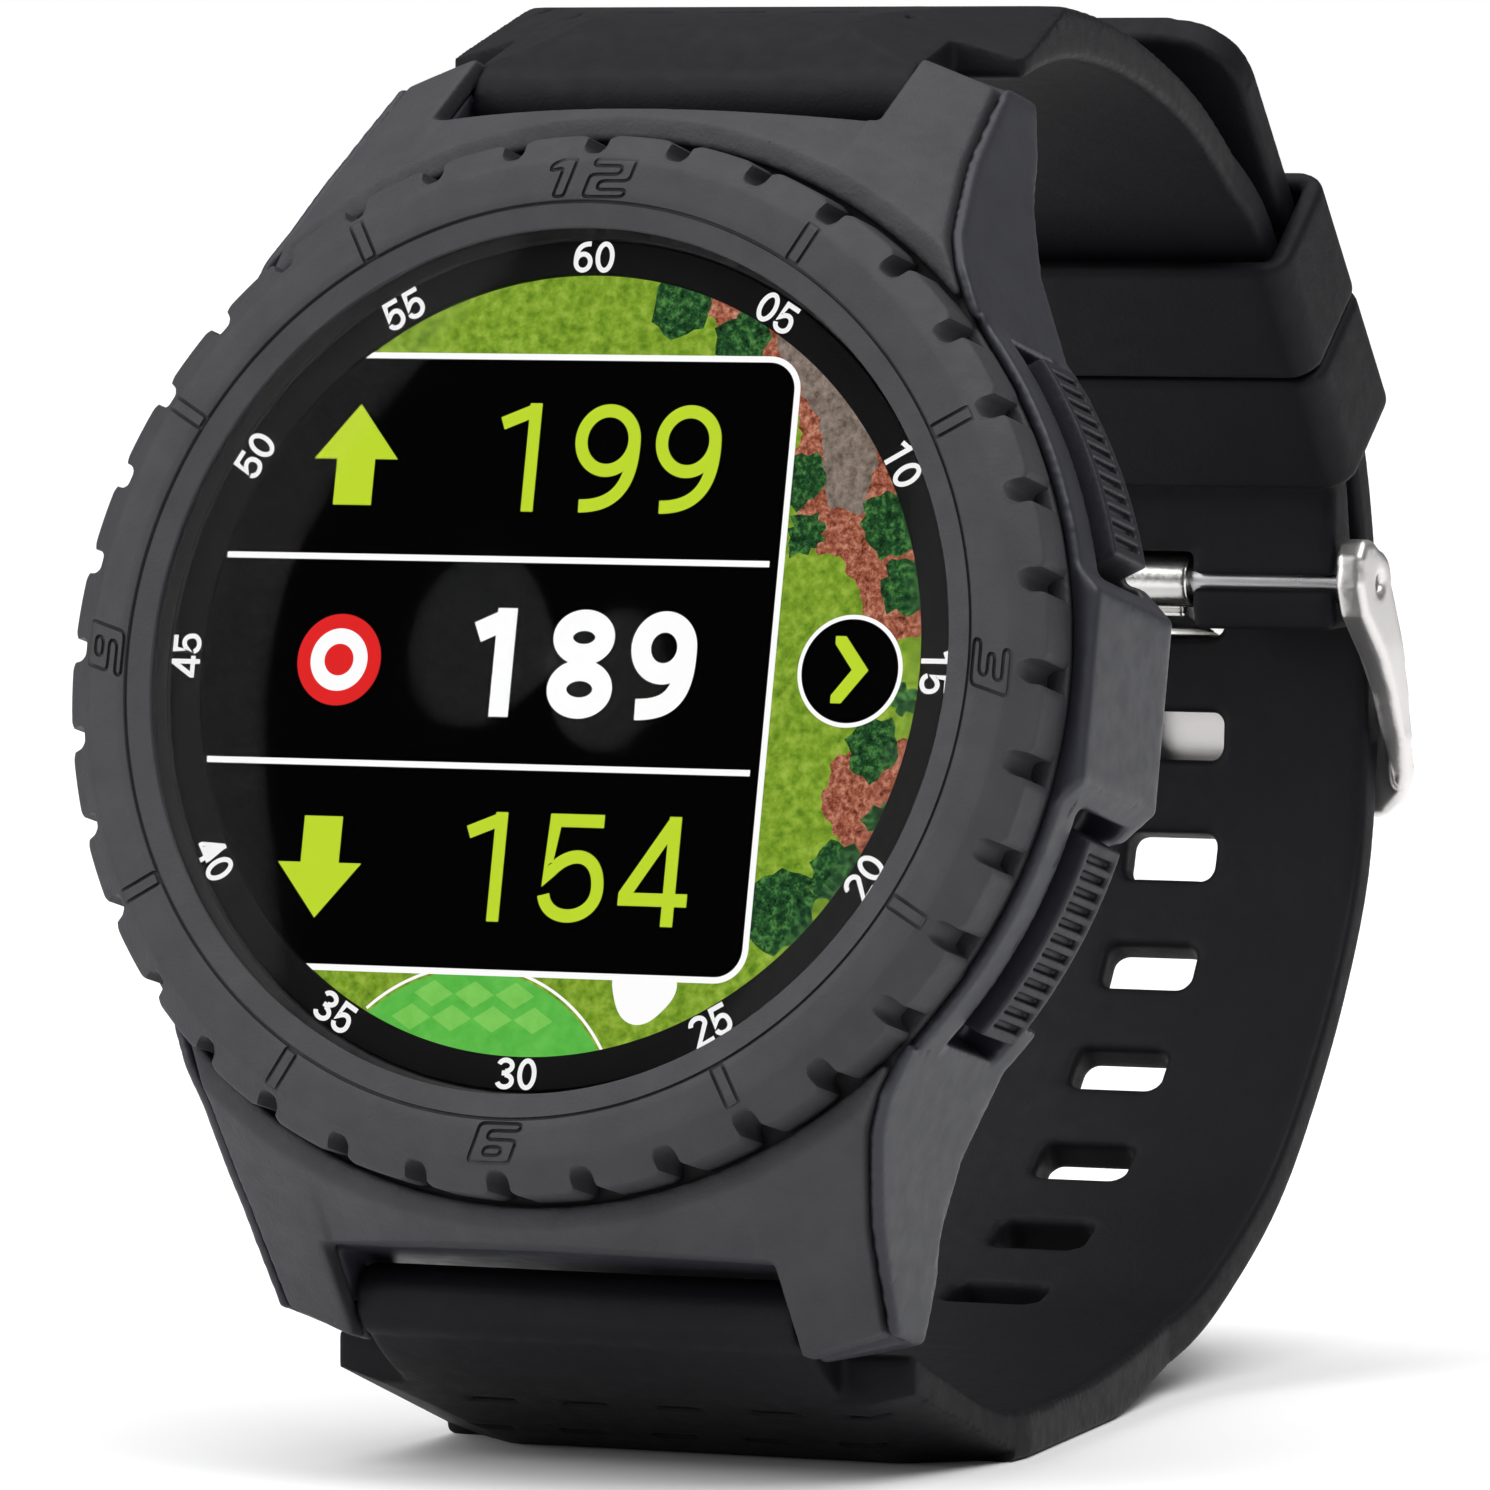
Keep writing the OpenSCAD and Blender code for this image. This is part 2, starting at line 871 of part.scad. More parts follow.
// Right edge of a strap half: narrow between the lugs, wide beside them, tapered.
function strap_edge(shoulder_y, taper) = [
    [lug_gap - 0.15, -20], [lug_gap - 0.15, shoulder_y],
    [strap_wide, shoulder_y + 0.2], [strap_wide, taper[0]],
    [strap_narrow, taper[1]], [strap_narrow, 90]
];

module strap_plan(shoulder_y, taper) {
    edge = strap_edge(shoulder_y, taper);
    polygon(concat(edge, [for (i = [len(edge) - 1 : -1 : 0]) [-edge[i][0], edge[i][1]]]));
}

module strap_slab(line, at) {
    side_slab(16)
        polygon(band_outline(line));
    side_slab(16)
        translate(at)
            circle(r = tab_r, $fn = 48);
}

module upper_strap() {
    color("#28292c")
        side_frame()
            difference() {
                intersection() {
                    strap_slab(upper_line, upper_bar_at);
                    translate([0, 0, -10])
                        linear_extrude(height = 60)
                            strap_plan(upper_bar_at[0] + 3.3, upper_taper);
                }
                side_slab(16)
                    translate(upper_bar_at)
                        circle(r = bar_bore_r, $fn = 48);
                side_slab(16)
                    translate(buckle_at)
                        circle(r = bar_bore_r, $fn = 48);
                // window for the tongue's barrel
                translate([-barrel_half - 0.3, buckle_at[0] - 4, buckle_at[1] - 4])
                    cube([2 * barrel_half + 0.6, 8, barrel_r + 4.1]);
            }
}

// Rounded slot through the band at the distance s along its line.
module slot_cut(line, s) {
    at = place_at(line, s);
    translate([0, at[0], at[1]])
        rotate([angle_at(line, s), 0, 0])
            linear_extrude(height = 5, center = true)
                rounded_plan(slot_w, slot_h, 0.6);
}

// Takes one corner off the end of the tail.
module tail_corner() {
    tip = keeper_point(tail_tip, tail_off);
    translate([0, tip[0], tip[1]])
        rotate([180 - keeper_lean, 0, 0])
            translate([strap_narrow - 3.4, -3.4, -3])
                difference() {
                    cube([6, 6, 6]);
                    translate([0, 0, -1])
                        cylinder(r = 3.26, h = 8, $fn = 48);
                }
}

module lower_strap() {
    color("#28292c")
        side_frame()
            difference() {
                intersection() {
                    strap_slab(lower_line, lower_bar_at);
                    union() {
                        // cut level at the ground, where the strap lies flat
                        translate([0, 0, -dial_height])
                            linear_extrude(height = dial_height - 6)
                                strap_plan(lower_bar_at[0] + 3.4, lower_taper);
                        translate([-strap_narrow + 0.1, 40, -6.2])
                            cube([2 * strap_narrow - 0.2, 50, 60]);
                    }
                }
                side_slab(16)
                    translate(lower_bar_at)
                        circle(r = bar_bore_r, $fn = 48);
                for (i = [-2 : 7])
                    slot_cut(lower_line, slot_zero - i * slot_pitch);
                for (side = [0, 1])
                    mirror([side, 0, 0])
                        tail_corner();
            }
}

// Loop round both layers of the strap, with its foot s along the straight stretch.
module keeper(s) {
    foot = keeper_point(s, 0);
    half = strap_narrow + 0.3;
    side_frame()
        translate([0, foot[0], foot[1]])
            rotate([90 - keeper_lean, 0, 0])
                linear_extrude(height = keeper_len)
                    difference() {
                        translate([0, (keeper_hollow[0] + keeper_hollow[1]) / 2])
                            rounded_plan(2 * (half + keeper_wall),
                                keeper_hollow[1] - keeper_hollow[0] + 2 * keeper_wall, 1.6);
                        translate([-half, keeper_hollow[0]])
                            square([2 * half, keeper_hollow[1] - keeper_hollow[0]]);
                    }
}

module fixed_keeper() {
    color("#2e2f33")
        keeper(0.2);
}

module free_keeper() {
    color("#2e2f33")
        keeper(0.2 + keeper_len + 0.15);
}

// ---------------------------------------------------------------- buckle

// Side outline of the buckle's rails.
module rail_outline() {
    translate(buckle_at)
        circle(r = 1.7, $fn = 48);
    polygon([
        [65.7, 1.2], [65.8, 2.6], [66.4, 3.4], [67.4, 3.4], [68.9, 2.6],
        [70.1, 0.8], [71.3, -1.4], [72.6, -4.4], [73.3, -6.7], [74.6, -8.2],
        [75.1, -9.7], [75.0, -10.5], [74.4, -10.8], [73.9, -10.4],
        [73.2, -8.6], [71.8, -6.6], [70.4, -4.3], [68.8, -2.5], [66.4, -0.4]
    ]);
}

// Front outline of the buckle, with round lower corners, cut through front to back.
module buckle_plan() {
    edge = [
        [rail_gap + rail_t, 8], [rail_gap + rail_t, -2], [rail_gap + rail_t - 0.25, -6.8],
        [rail_gap + rail_t - 0.7, -8.7], [rail_gap + 0.15, -9.9],
        [rail_gap - 0.5, -10.5], [rail_gap - 1.4, -10.9]
    ];
    translate([0, 90, 0])
        rotate([90, 0, 0])
            linear_extrude(height = 40)
                polygon(concat(
                    edge,
                    [for (i = [len(edge) - 1 : -1 : 0]) [-edge[i][0], edge[i][1]]]
                ));
}

module buckle_frame() {
    color("gainsboro")
        side_frame()
            difference() {
                intersection() {
                    union() {
                        for (side = [0, 1])
                            mirror([side, 0, 0])
                                translate([rail_gap + rail_t / 2, 0, 0])
                                    side_slab(rail_t / 2)
                                        rail_outline();
                        side_slab(rail_gap + 0.1)
                            polygon([
                                [73.6, -5.0], [74.5, -5.0], [75.1, -6.2],
                                [75.1, -9.7], [75.0, -10.5], [74.4, -10.8], [73.9, -10.4]
                            ]);
                    }
                    buckle_plan();
                }
                side_slab(rail_gap + rail_t - 0.5)
                    translate(buckle_at)
                        circle(r = tip_bore_r, $fn = 48);
            }
}

// Side outline of the tongue's shank: out through a slot, then down over the cross bar.
module tongue_outline() {
    line = smooth_rows([
        [68.9, -0.1, 1.1], [70.9, -0.75, 1.1], [72.6, -1.0, 1.1],
        [74.4, -1.6, 1.1], [75.7, -3.4, 1.1], [76.0, -5.8, 1.1], [76.0, -9.3, 1.0]
    ], 5);
    polygon(band_outline(line));
}

module buckle_tongue() {
    color("silver")
        side_frame()
            difference() {
                union() {
                    side_slab(1.5)
                        tongue_outline();
                    side_slab(barrel_half)
                        translate(buckle_at)
                            circle(r = barrel_r, $fn = 48);
                }
                side_slab(3)
                    translate(buckle_at)
                        circle(r = bar_r + 0.05, $fn = 48);
            }
}

module buckle_bar() {
    color("silver")
        bar_tube(buckle_at, rail_gap - 0.15, bar_r);
}

module buckle_bar_tips() {
    color("gainsboro")
        bar_tips(buckle_at, rail_gap - 3, rail_gap + rail_t - 0.6);
}

top_shell();
mid_case();
back_cover();
back_gasket();
back_screws();
screw_inserts();
bezel_ring();
bezel_snap_ring();
cover_glass();
lens_gasket();
dial_ring();
display_module();
display_flex();
inner_chassis();
main_pcb();
pcb_chips();
gps_antenna();
battery();
battery_pad();
vibration_motor();
charging_contacts();
button_switches();
button_seals();
upper_button();
upper_button_clip();
lower_button();
lower_button_clip();
upper_lug_bar();
lower_lug_bar();
lug_bar_tips();
upper_strap();
lower_strap();
fixed_keeper();
free_keeper();
buckle_frame();
buckle_tongue();
buckle_bar();
buckle_bar_tips();
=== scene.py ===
import json
import math

import bpy
import numpy as np
import openvdb
from mathutils import Matrix, Vector
from mathutils.bvhtree import BVHTree


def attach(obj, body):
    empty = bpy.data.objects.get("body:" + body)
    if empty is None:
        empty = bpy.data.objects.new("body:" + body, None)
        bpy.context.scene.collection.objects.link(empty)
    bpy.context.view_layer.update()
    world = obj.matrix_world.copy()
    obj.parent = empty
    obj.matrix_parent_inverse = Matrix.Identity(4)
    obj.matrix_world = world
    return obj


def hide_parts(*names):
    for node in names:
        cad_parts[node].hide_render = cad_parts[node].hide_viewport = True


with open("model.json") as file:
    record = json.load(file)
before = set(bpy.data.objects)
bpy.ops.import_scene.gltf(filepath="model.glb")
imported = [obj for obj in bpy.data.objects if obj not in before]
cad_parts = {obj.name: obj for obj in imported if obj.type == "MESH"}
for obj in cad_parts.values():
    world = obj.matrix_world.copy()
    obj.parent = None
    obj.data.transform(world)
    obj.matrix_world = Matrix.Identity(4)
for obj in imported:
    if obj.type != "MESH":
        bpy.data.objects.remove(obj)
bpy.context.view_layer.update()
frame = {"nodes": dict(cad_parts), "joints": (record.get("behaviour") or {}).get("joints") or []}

MM = 0.001
NODES = frame["nodes"]
SCENE = bpy.context.scene

# The face frame has its origin at the middle of the display, x to three o'clock, y to
# twelve o'clock and z out of the glass. Its lengths are in millimetres.
TURN = next(j for j in frame["joints"] if j["name"] == "bezel_turn")
DIAL = np.array(TURN["pos_m"]) / MM
FACE_X = np.array([1.0, 0.0, 0.0])
FACE_Z = np.array(TURN["axis"]) / np.linalg.norm(TURN["axis"])
FACE = np.stack([FACE_X, np.cross(FACE_Z, FACE_X), FACE_Z])


# ------------------------------------------------------------------ frame and meshes

def to_row(points):
    """Row frame millimetres from face frame millimetres."""
    return DIAL + np.asarray(points, float) @ FACE


def to_face(points):
    return (np.asarray(points, float) - DIAL) @ FACE.T


def cad_points(node):
    """A CAD node's vertices in the row frame, in millimetres."""
    mesh = NODES[node].data
    points = np.zeros(len(mesh.vertices) * 3)
    mesh.vertices.foreach_get("co", points)
    return points.reshape(-1, 3) / MM


def cad_triangles(node):
    mesh = NODES[node].data
    mesh.calc_loop_triangles()
    corners = np.zeros(len(mesh.loop_triangles) * 3, np.int64)
    mesh.loop_triangles.foreach_get("vertices", corners)
    return corners.reshape(-1, 3)


def spans(node):
    """Radius range and height range of a node about the dial's axis."""
    x, y, z = to_face(cad_points(node)).T
    r = np.hypot(x, y)
    return (r.min(), r.max()), (z.min(), z.max())


def new_mesh(name, points, *face_sets):
    """A smooth mesh in metres from points in row frame millimetres."""
    face_sets = [np.asarray(f, np.int64) for f in face_sets if len(f)]
    corners = np.concatenate([f.ravel() for f in face_sets])
    sizes = np.concatenate([np.full(len(f), f.shape[1]) for f in face_sets])
    mesh = bpy.data.meshes.new(name)
    mesh.vertices.add(len(points))
    mesh.vertices.foreach_set("co", (np.asarray(points, float) * MM).ravel())
    mesh.loops.add(len(corners))
    mesh.loops.foreach_set("vertex_index", corners)
    mesh.polygons.add(len(sizes))
    mesh.polygons.foreach_set("loop_start", np.concatenate([[0], np.cumsum(sizes)[:-1]]))
    mesh.polygons.foreach_set("use_smooth", np.ones(len(sizes), bool))
    mesh.update(calc_edges=True)
    mesh.validate()
    return mesh


def place(name, mesh, material, body, nodes=()):
    """Puts a finished mesh in the scene as a piece that rides a CAD body."""
    piece = bpy.data.objects.new(name, mesh)
    SCENE.collection.objects.link(piece)
    mesh.materials.clear()
    mesh.materials.append(material)
    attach(piece, body)
    if nodes:
        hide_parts(*nodes)
    return piece


def signed_volume(points, faces):
    a, b, c = (points[faces[:, i]] for i in range(3))
    return float(np.einsum("ij,ij->i", a, np.cross(b, c)).sum())


def level_set(points, triangles, quads, voxel, reach):
    return openvdb.FloatGrid.createLevelSetFromPolygons(
        np.ascontiguousarray(points, np.float32),
        triangles=np.ascontiguousarray(triangles, np.uint32),
        quads=np.ascontiguousarray(quads, np.uint32).reshape(-1, 4),
        transform=openvdb.createLinearTransform(voxelSize=voxel),
        halfWidth=reach / voxel + 2.5,
    )


def carve(grid, voxel, level, distance, low, high):
    """Cuts away where distance is below zero, on the surface that lies at level."""
    start = np.floor(np.asarray(low) / voxel).astype(int)
    shape = np.ceil(np.asarray(high) / voxel).astype(int) - start + 1
    block = np.zeros(tuple(shape), np.float32)
    grid.copyToArray(block, ijk=tuple(int(i) for i in start))
    where = np.stack(np.meshgrid(*[np.arange(n) for n in shape], indexing="ij"), -1)
    cut = distance((where + start) * voxel)
    block = np.maximum(block, level - cut.astype(np.float32))
    grid.copyFromArray(block, ijk=tuple(int(i) for i in start))


def softened(node, edge, fillet, voxel, cuts=(), lean=0.0):
    """A CAD node with its outer edges rounded by edge and its inner ones by fillet.

    The surface moves in by edge, out by edge and fillet, and in by fillet."""
    voxel = voxel * 1.0
    points, triangles = cad_points(node), cad_triangles(node)
    quads = np.zeros((0, 4))
    reach = edge + fillet
    for level in (-edge, edge + fillet):
        grid = level_set(points, triangles, quads, voxel, reach)
        points, triangles, quads = grid.convertToPolygons(level, 0.0)
    grid = level_set(points, triangles, quads, voxel, reach)
    for distance, low, high in cuts:
        carve(grid, voxel, -fillet, distance, low, high)
    points, triangles, quads = grid.convertToPolygons(-fillet, lean)
    points = points.astype(float)
    fan = np.concatenate([triangles, quads[:, :3], quads[:, [0, 2, 3]]])
    if signed_volume(points, fan) < 0:
        triangles, quads = triangles[:, ::-1], quads[:, ::-1]
    return new_mesh(node + "_soft", points, triangles, quads)


def grid_faces(rows, columns, closed_rows=False):
    """Quads between a grid's points, closed round its columns."""
    last = rows if closed_rows else rows - 1
    i, j = np.meshgrid(np.arange(last), np.arange(columns), indexing="ij")
    a = i * columns + j
    b = i * columns + (j + 1) % columns
    c = (i + 1) % rows * columns + (j + 1) % columns
    d = (i + 1) % rows * columns + j
    return np.stack([a, d, c, b], -1).reshape(-1, 4)


def lathe(name, profile, steps=256):
    """A closed profile of (radius, height) turned round the dial's axis."""
    turns = np.arange(steps) * 2 * math.pi / steps
    profile = np.asarray(profile, float)
    r, z = profile[:, :1], profile[:, 1:]
    points = np.stack([r * np.cos(turns), r * np.sin(turns), z + 0 * turns], -1)
    return new_mesh(name, to_row(points.reshape(-1, 3)), grid_faces(len(profile), steps, True))


def rounded_profile(corners, radius, steps=4):
    """A closed profile with each corner replaced by a short arc."""
    corners = np.asarray(corners, float)
    out = []
    for i, corner in enumerate(corners):
        back = corners[i - 1] - corner
        ahead = corners[(i + 1) % len(corners)] - corner
        near = min(radius, 0.45 * np.linalg.norm(back), 0.45 * np.linalg.norm(ahead))
        a = corner + back / np.linalg.norm(back) * near
        b = corner + ahead / np.linalg.norm(ahead) * near
        for t in np.linspace(0, 1, steps + 1):
            out.append((1 - t) ** 2 * a + 2 * t * (1 - t) * corner + t * t * b)
    return np.array(out)


def face_matrix(height):
    """Places flat work drawn in millimetres on the face at a height."""
    place_it = Matrix.Identity(4)
    for row in range(3):
        for column in range(3):
            place_it[row][column] = FACE[column][row] * MM
        place_it[row][3] = (DIAL[row] + FACE[2][row] * height) * MM
    return place_it


def curve_mesh(curve, name):
    """The mesh of a curve or text, which is then removed."""
    holder = bpy.data.objects.new(name, curve)
    SCENE.collection.objects.link(holder)
    bpy.context.view_layer.update()
    seen = holder.evaluated_get(bpy.context.evaluated_depsgraph_get())
    mesh = bpy.data.meshes.new_from_object(seen)
    bpy.data.objects.remove(holder)
    return mesh


def flat_mesh(name, loops, bottom, thick):
    """A thin plate on the face from closed outlines; an outline inside another is a hole."""
    curve = bpy.data.curves.new(name, "CURVE")
    curve.dimensions = "2D"
    curve.fill_mode = "BOTH"
    curve.extrude = thick / 2
    for loop in loops:
        spline = curve.splines.new("POLY")
        spline.points.add(len(loop) - 1)
        for point, (x, y) in zip(spline.points, loop):
            point.co = (x, y, 0, 1)
        spline.use_cyclic_u = True
    mesh = curve_mesh(curve, name)
    mesh.transform(face_matrix(bottom + thick / 2))
    return mesh


def join(name, meshes):
    """One mesh from several."""
    joined = bpy.data.meshes.new(name)
    points, faces, base = [], [], 0
    for mesh in meshes:
        points += [v.co.copy() for v in mesh.vertices]
        faces += [[base + i for i in p.vertices] for p in mesh.polygons]
        base = len(points)
    joined.from_pydata(points, [], faces)
    return joined


# ------------------------------------------------------------------ materials

def shader(name):
    """A new material, its node tree and its Principled node."""
    material = bpy.data.materials.new(name)
    material.use_nodes = True
    tree = material.node_tree
    return material, tree, tree.nodes["Principled BSDF"]


def add(tree, kind, **values):
    node = tree.nodes.new(kind)
    for key, value in values.items():
        if key in node.inputs:
            node.inputs[key].default_value = value
        else:
            setattr(node, key, value)
    return node


def noise(tree, size_mm, detail=3.0, stretch=None, roughness=0.55):
    """Noise with blotches of about size_mm, on the object's own coordinates."""
    where = add(tree, "ShaderNodeTexCoord")
    source = where.outputs["Object"]
    if stretch:
        turned = add(tree, "ShaderNodeMapping")
        turned.inputs["Scale"].default_value = stretch
        tree.links.new(source, turned.inputs["Vector"])
        source = turned.outputs["Vector"]
    node = add(tree, "ShaderNodeTexNoise")
    node.inputs["Scale"].default_value = 1 / (size_mm * MM)
    node.inputs["Detail"].default_value = detail
    node.inputs["Roughness"].default_value = roughness
    tree.links.new(source, node.inputs["Vector"])
    return node.outputs["Fac"]


def ranged(tree, value, low, high):
    node = add(tree, "ShaderNodeMapRange")
    node.inputs["From Min"].default_value = 0.3
    node.inputs["From Max"].default_value = 0.7
    node.inputs["To Min"].default_value = low
    node.inputs["To Max"].default_value = high
    tree.links.new(value, node.inputs["Value"])
    return node.outputs["Result"]


def mixed(tree, factor, a, b):
    node = add(tree, "ShaderNodeMix", data_type="RGBA")
    node.inputs[6].default_value = (*a, 1)
    node.inputs[7].default_value = (*b, 1)
    tree.links.new(factor, node.inputs[0])
    return node.outputs[2]


def bump(tree, surface, height, depth_mm):
    node = add(tree, "ShaderNodeBump")
    node.inputs["Distance"].default_value = depth_mm * MM
    tree.links.new(height, node.inputs["Height"])
    tree.links.new(node.outputs["Normal"], surface.inputs["Normal"])


def shade(colour, factor):
    return tuple(c * factor for c in colour)


def moulded(name, colour, rough, grain_mm, grain_depth, specular=0.5):
    """Moulded plastic or rubber: fine grain, slow tone changes and uneven gloss."""
    material, tree, surface = shader(name)
    tone = 0.12
    darker, lighter = shade(colour, 1 - tone), shade(colour, 1 + tone)
    tint = mixed(tree, ranged(tree, noise(tree, 2.5), 0, 1), darker, lighter)
    tree.links.new(tint, surface.inputs["Base Color"])
    gloss = ranged(tree, noise(tree, 0.9), rough - 0.05, rough + 0.05)
    tree.links.new(gloss, surface.inputs["Roughness"])
    surface.inputs["Specular IOR Level"].default_value = specular
    bump(tree, surface, noise(tree, grain_mm, 2.0), grain_depth)
    return material


def metal(name, colour, rough, brush=(1, 1, 1)):
    """Metal with fine brushing or a satin blast."""
    material, tree, surface = shader(name)
    fine = noise(tree, 0.25, 4.0, brush)
    tint = mixed(tree, fine, shade(colour, 0.85), colour)
    tree.links.new(tint, surface.inputs["Base Color"])
    tree.links.new(ranged(tree, fine, rough - 0.05, rough + 0.06), surface.inputs["Roughness"])
    surface.inputs["Metallic"].default_value = 1.0
    bump(tree, surface, fine, 0.004)
    return material


def glow(tree, surface, colour):
    """Makes a surface show a colour by its own light alone."""
    surface.inputs["Base Color"].default_value = (0, 0, 0, 1)
    surface.inputs["Specular IOR Level"].default_value = 0.0
    surface.inputs["Emission Strength"].default_value = 1.0
    tree.links.new(colour, surface.inputs["Emission Color"])


def lit(name, colour):
    """A colour shown by its own light, with a faint unevenness: the screen's colours, and the
    white print, whose glow is painted light.
    """
    material, tree, surface = shader(name)
    glow(tree, surface, mixed(tree, noise(tree, 1.2), shade(colour, 0.97), colour))
    return material


def lit_mix(name, size_mm, stops, detail=6.0, rough=0.6):
    """A lit screen picture of grass, leaves or bark: noise through several colours."""
    material, tree, surface = shader(name)
    ramp = add(tree, "ShaderNodeValToRGB")
    ramp.color_ramp.elements[0].position = stops[0][0]
    ramp.color_ramp.elements[0].color = (*stops[0][1], 1)
    ramp.color_ramp.elements[1].position = stops[-1][0]
    ramp.color_ramp.elements[1].color = (*stops[-1][1], 1)
    for position, colour in stops[1:-1]:
        ramp.color_ramp.elements.new(position).color = (*colour, 1)
    tree.links.new(noise(tree, size_mm, detail, roughness=rough), ramp.inputs["Fac"])
    glow(tree, surface, ramp.outputs["Color"])
    return material


def clear_glass():
    """Coated glass that lets nearly everything through and hardly reflects."""
    material, tree, surface = shader("cover_glass_coated")
    output = next(n for n in tree.nodes if n.type == "OUTPUT_MATERIAL")
    through = add(tree, "ShaderNodeBsdfTransparent")
    shine = add(tree, "ShaderNodeBsdfGlossy")
    shine.inputs["Roughness"].default_value = 0.04
    fresnel = add(tree, "ShaderNodeFresnel")
    fresnel.inputs["IOR"].default_value = 1.12
    blend = add(tree, "ShaderNodeMixShader")
    tree.links.new(fresnel.outputs[0], blend.inputs[0])
    tree.links.new(through.outputs[0], blend.inputs[1])
    tree.links.new(shine.outputs[0], blend.inputs[2])
    tree.links.new(blend.outputs[0], output.inputs["Surface"])
    tree.nodes.remove(surface)
    return material


SHELL = moulded("shell_textured", (0.031, 0.0292, 0.033), 0.62, 0.2, 0.03, specular=0.32)
FLANK = moulded("case_smooth", (0.017, 0.0175, 0.024), 0.42, 0.22, 0.004, specular=0.35)
BACK = moulded("back_plastic", (0.022, 0.022, 0.024), 0.45, 0.25, 0.006)
BEZEL = moulded("bezel_blasted", (0.028, 0.0268, 0.0305), 0.6, 0.18, 0.026, specular=0.3)
# The engraved grooves get a colour darker than the bezel's: painted shade in the recesses.
GROOVE_PAINTED_SHADE = moulded("groove_painted_shade", (0.012, 0.012, 0.013), 0.7, 0.2, 0.01)
RUBBER = moulded("strap_rubber", (0.0046, 0.0046, 0.0062), 0.58, 0.2, 0.02, specular=0.14)
PUSHER = moulded("pusher_rubber", (0.009, 0.0092, 0.013), 0.5, 0.2, 0.012, specular=0.25)
BUCKLE = metal("buckle_satin", (0.72, 0.70, 0.69), 0.34, (1, 1, 6))
TONGUE = metal("tongue_polished", (0.72, 0.71, 0.69), 0.2)
BAR = metal("bar_steel", (0.55, 0.55, 0.56), 0.3, (0.1, 1, 1))
BORDER = moulded("dial_black", (0.0015, 0.0015, 0.0015), 0.6, 0.4, 0.002, specular=0.05)
# The white print glows by its own light though it is no lamp: painted light.
PRINT_PAINTED_GLOW = lit("print_white_painted_glow", (0.9, 0.9, 0.9))
LIME = lit("screen_lime", (0.515, 0.70, 0.03))
WHITE = lit("screen_white", (1.0, 1.0, 1.0))
BLACK = lit("screen_black", (0.0, 0.0, 0.0))
RED = lit("screen_red", (0.75, 0.02, 0.02))
GLASS = clear_glass()

# Materials for the parts inside, which keep their CAD shape.
INNER = {
    "bezel_snap_ring": metal("spring_steel", (0.6, 0.6, 0.6), 0.3),
    "lens_gasket": moulded("seal_rubber", (0.012, 0.012, 0.012), 0.7, 0.2, 0.01),
    "display_flex": moulded("flex_film", (0.35, 0.13, 0.02), 0.35, 0.3, 0.003),
    "inner_chassis": moulded("chassis_plastic", (0.12, 0.12, 0.125), 0.5, 0.2, 0.01),
    "main_pcb": moulded("board_green", (0.01, 0.11, 0.045), 0.35, 0.3, 0.005),
    "pcb_chips": moulded("chip_black", (0.012, 0.012, 0.013), 0.5, 0.15, 0.004),
    "gps_antenna": moulded("antenna_ceramic", (0.5, 0.46, 0.38), 0.4, 0.2, 0.005),
    "battery": metal("battery_can", (0.5, 0.51, 0.53), 0.35),
    "battery_pad": moulded("foam_pad", (0.05, 0.05, 0.05), 0.9, 0.25, 0.05),
    "vibration_motor": metal("motor_steel", (0.55, 0.55, 0.55), 0.25),
    "charging_contacts": metal("contact_gold", (0.85, 0.6, 0.22), 0.25),
    "button_switches": moulded("switch_cream", (0.6, 0.55, 0.42), 0.4, 0.2, 0.004),
    "button_seals": moulded("seal_rubber_stem", (0.012, 0.012, 0.012), 0.7, 0.2, 0.01),
    "back_gasket": moulded("seal_rubber_back", (0.014, 0.014, 0.014), 0.7, 0.2, 0.01),
    "back_screws": metal("screw_steel", (0.58, 0.58, 0.59), 0.28),
    "screw_inserts": metal("insert_brass", (0.7, 0.5, 0.2), 0.3),
    "upper_button_clip": metal("clip_steel_upper", (0.6, 0.6, 0.6), 0.3),
    "lower_button_clip": metal("clip_steel_lower", (0.6, 0.6, 0.6), 0.3),
    "upper_lug_bar": BAR,
    "lower_lug_bar": BAR,
    "lug_bar_tips": BAR,
    "buckle_bar": BAR,
    "buckle_bar_tips": BAR,
    "display_module": moulded("display_back", (0.01, 0.01, 0.011), 0.5, 0.3, 0.003),
}


def dress_inner_parts():
    """Gives every CAD part that stays its own material."""
    for node, material in INNER.items():
        mesh = NODES[node].data
        mesh.materials.clear()
        mesh.materials.append(material)


# ------------------------------------------------------------------ case and band

def along_box(centre, along, across, out, half_long, half_wide, half_deep, turn_r):
    """Distance to a rounded slot-shaped pocket, and the box that holds it."""
    centre, along = np.asarray(centre, float), np.asarray(along, float)
    across, out = np.asarray(across, float), np.asarray(out, float)

    def distance(points):
        away = points - centre
        size = np.stack([
            np.abs(away @ along) - half_long + turn_r,
            np.abs(away @ across) - half_wide + turn_r,
            np.abs(away @ out) - half_deep + turn_r,
        ], -1)
        outside = np.linalg.norm(np.maximum(size, 0), axis=-1)
        return outside + np.minimum(size.max(-1), 0) - turn_r

    reach = half_long + half_wide + half_deep + 0.5
    return distance, centre - reach, centre + reach


# Half the length, half the width and the depth of a pocket, and its corners' radius.
POCKET_HALF = (1.1, 0.24, 0.4)
POCKET_CORNER = 0.18
POCKET_PITCH = 4.65
POCKETS_PER_ROW = 5
RAY_START = 100


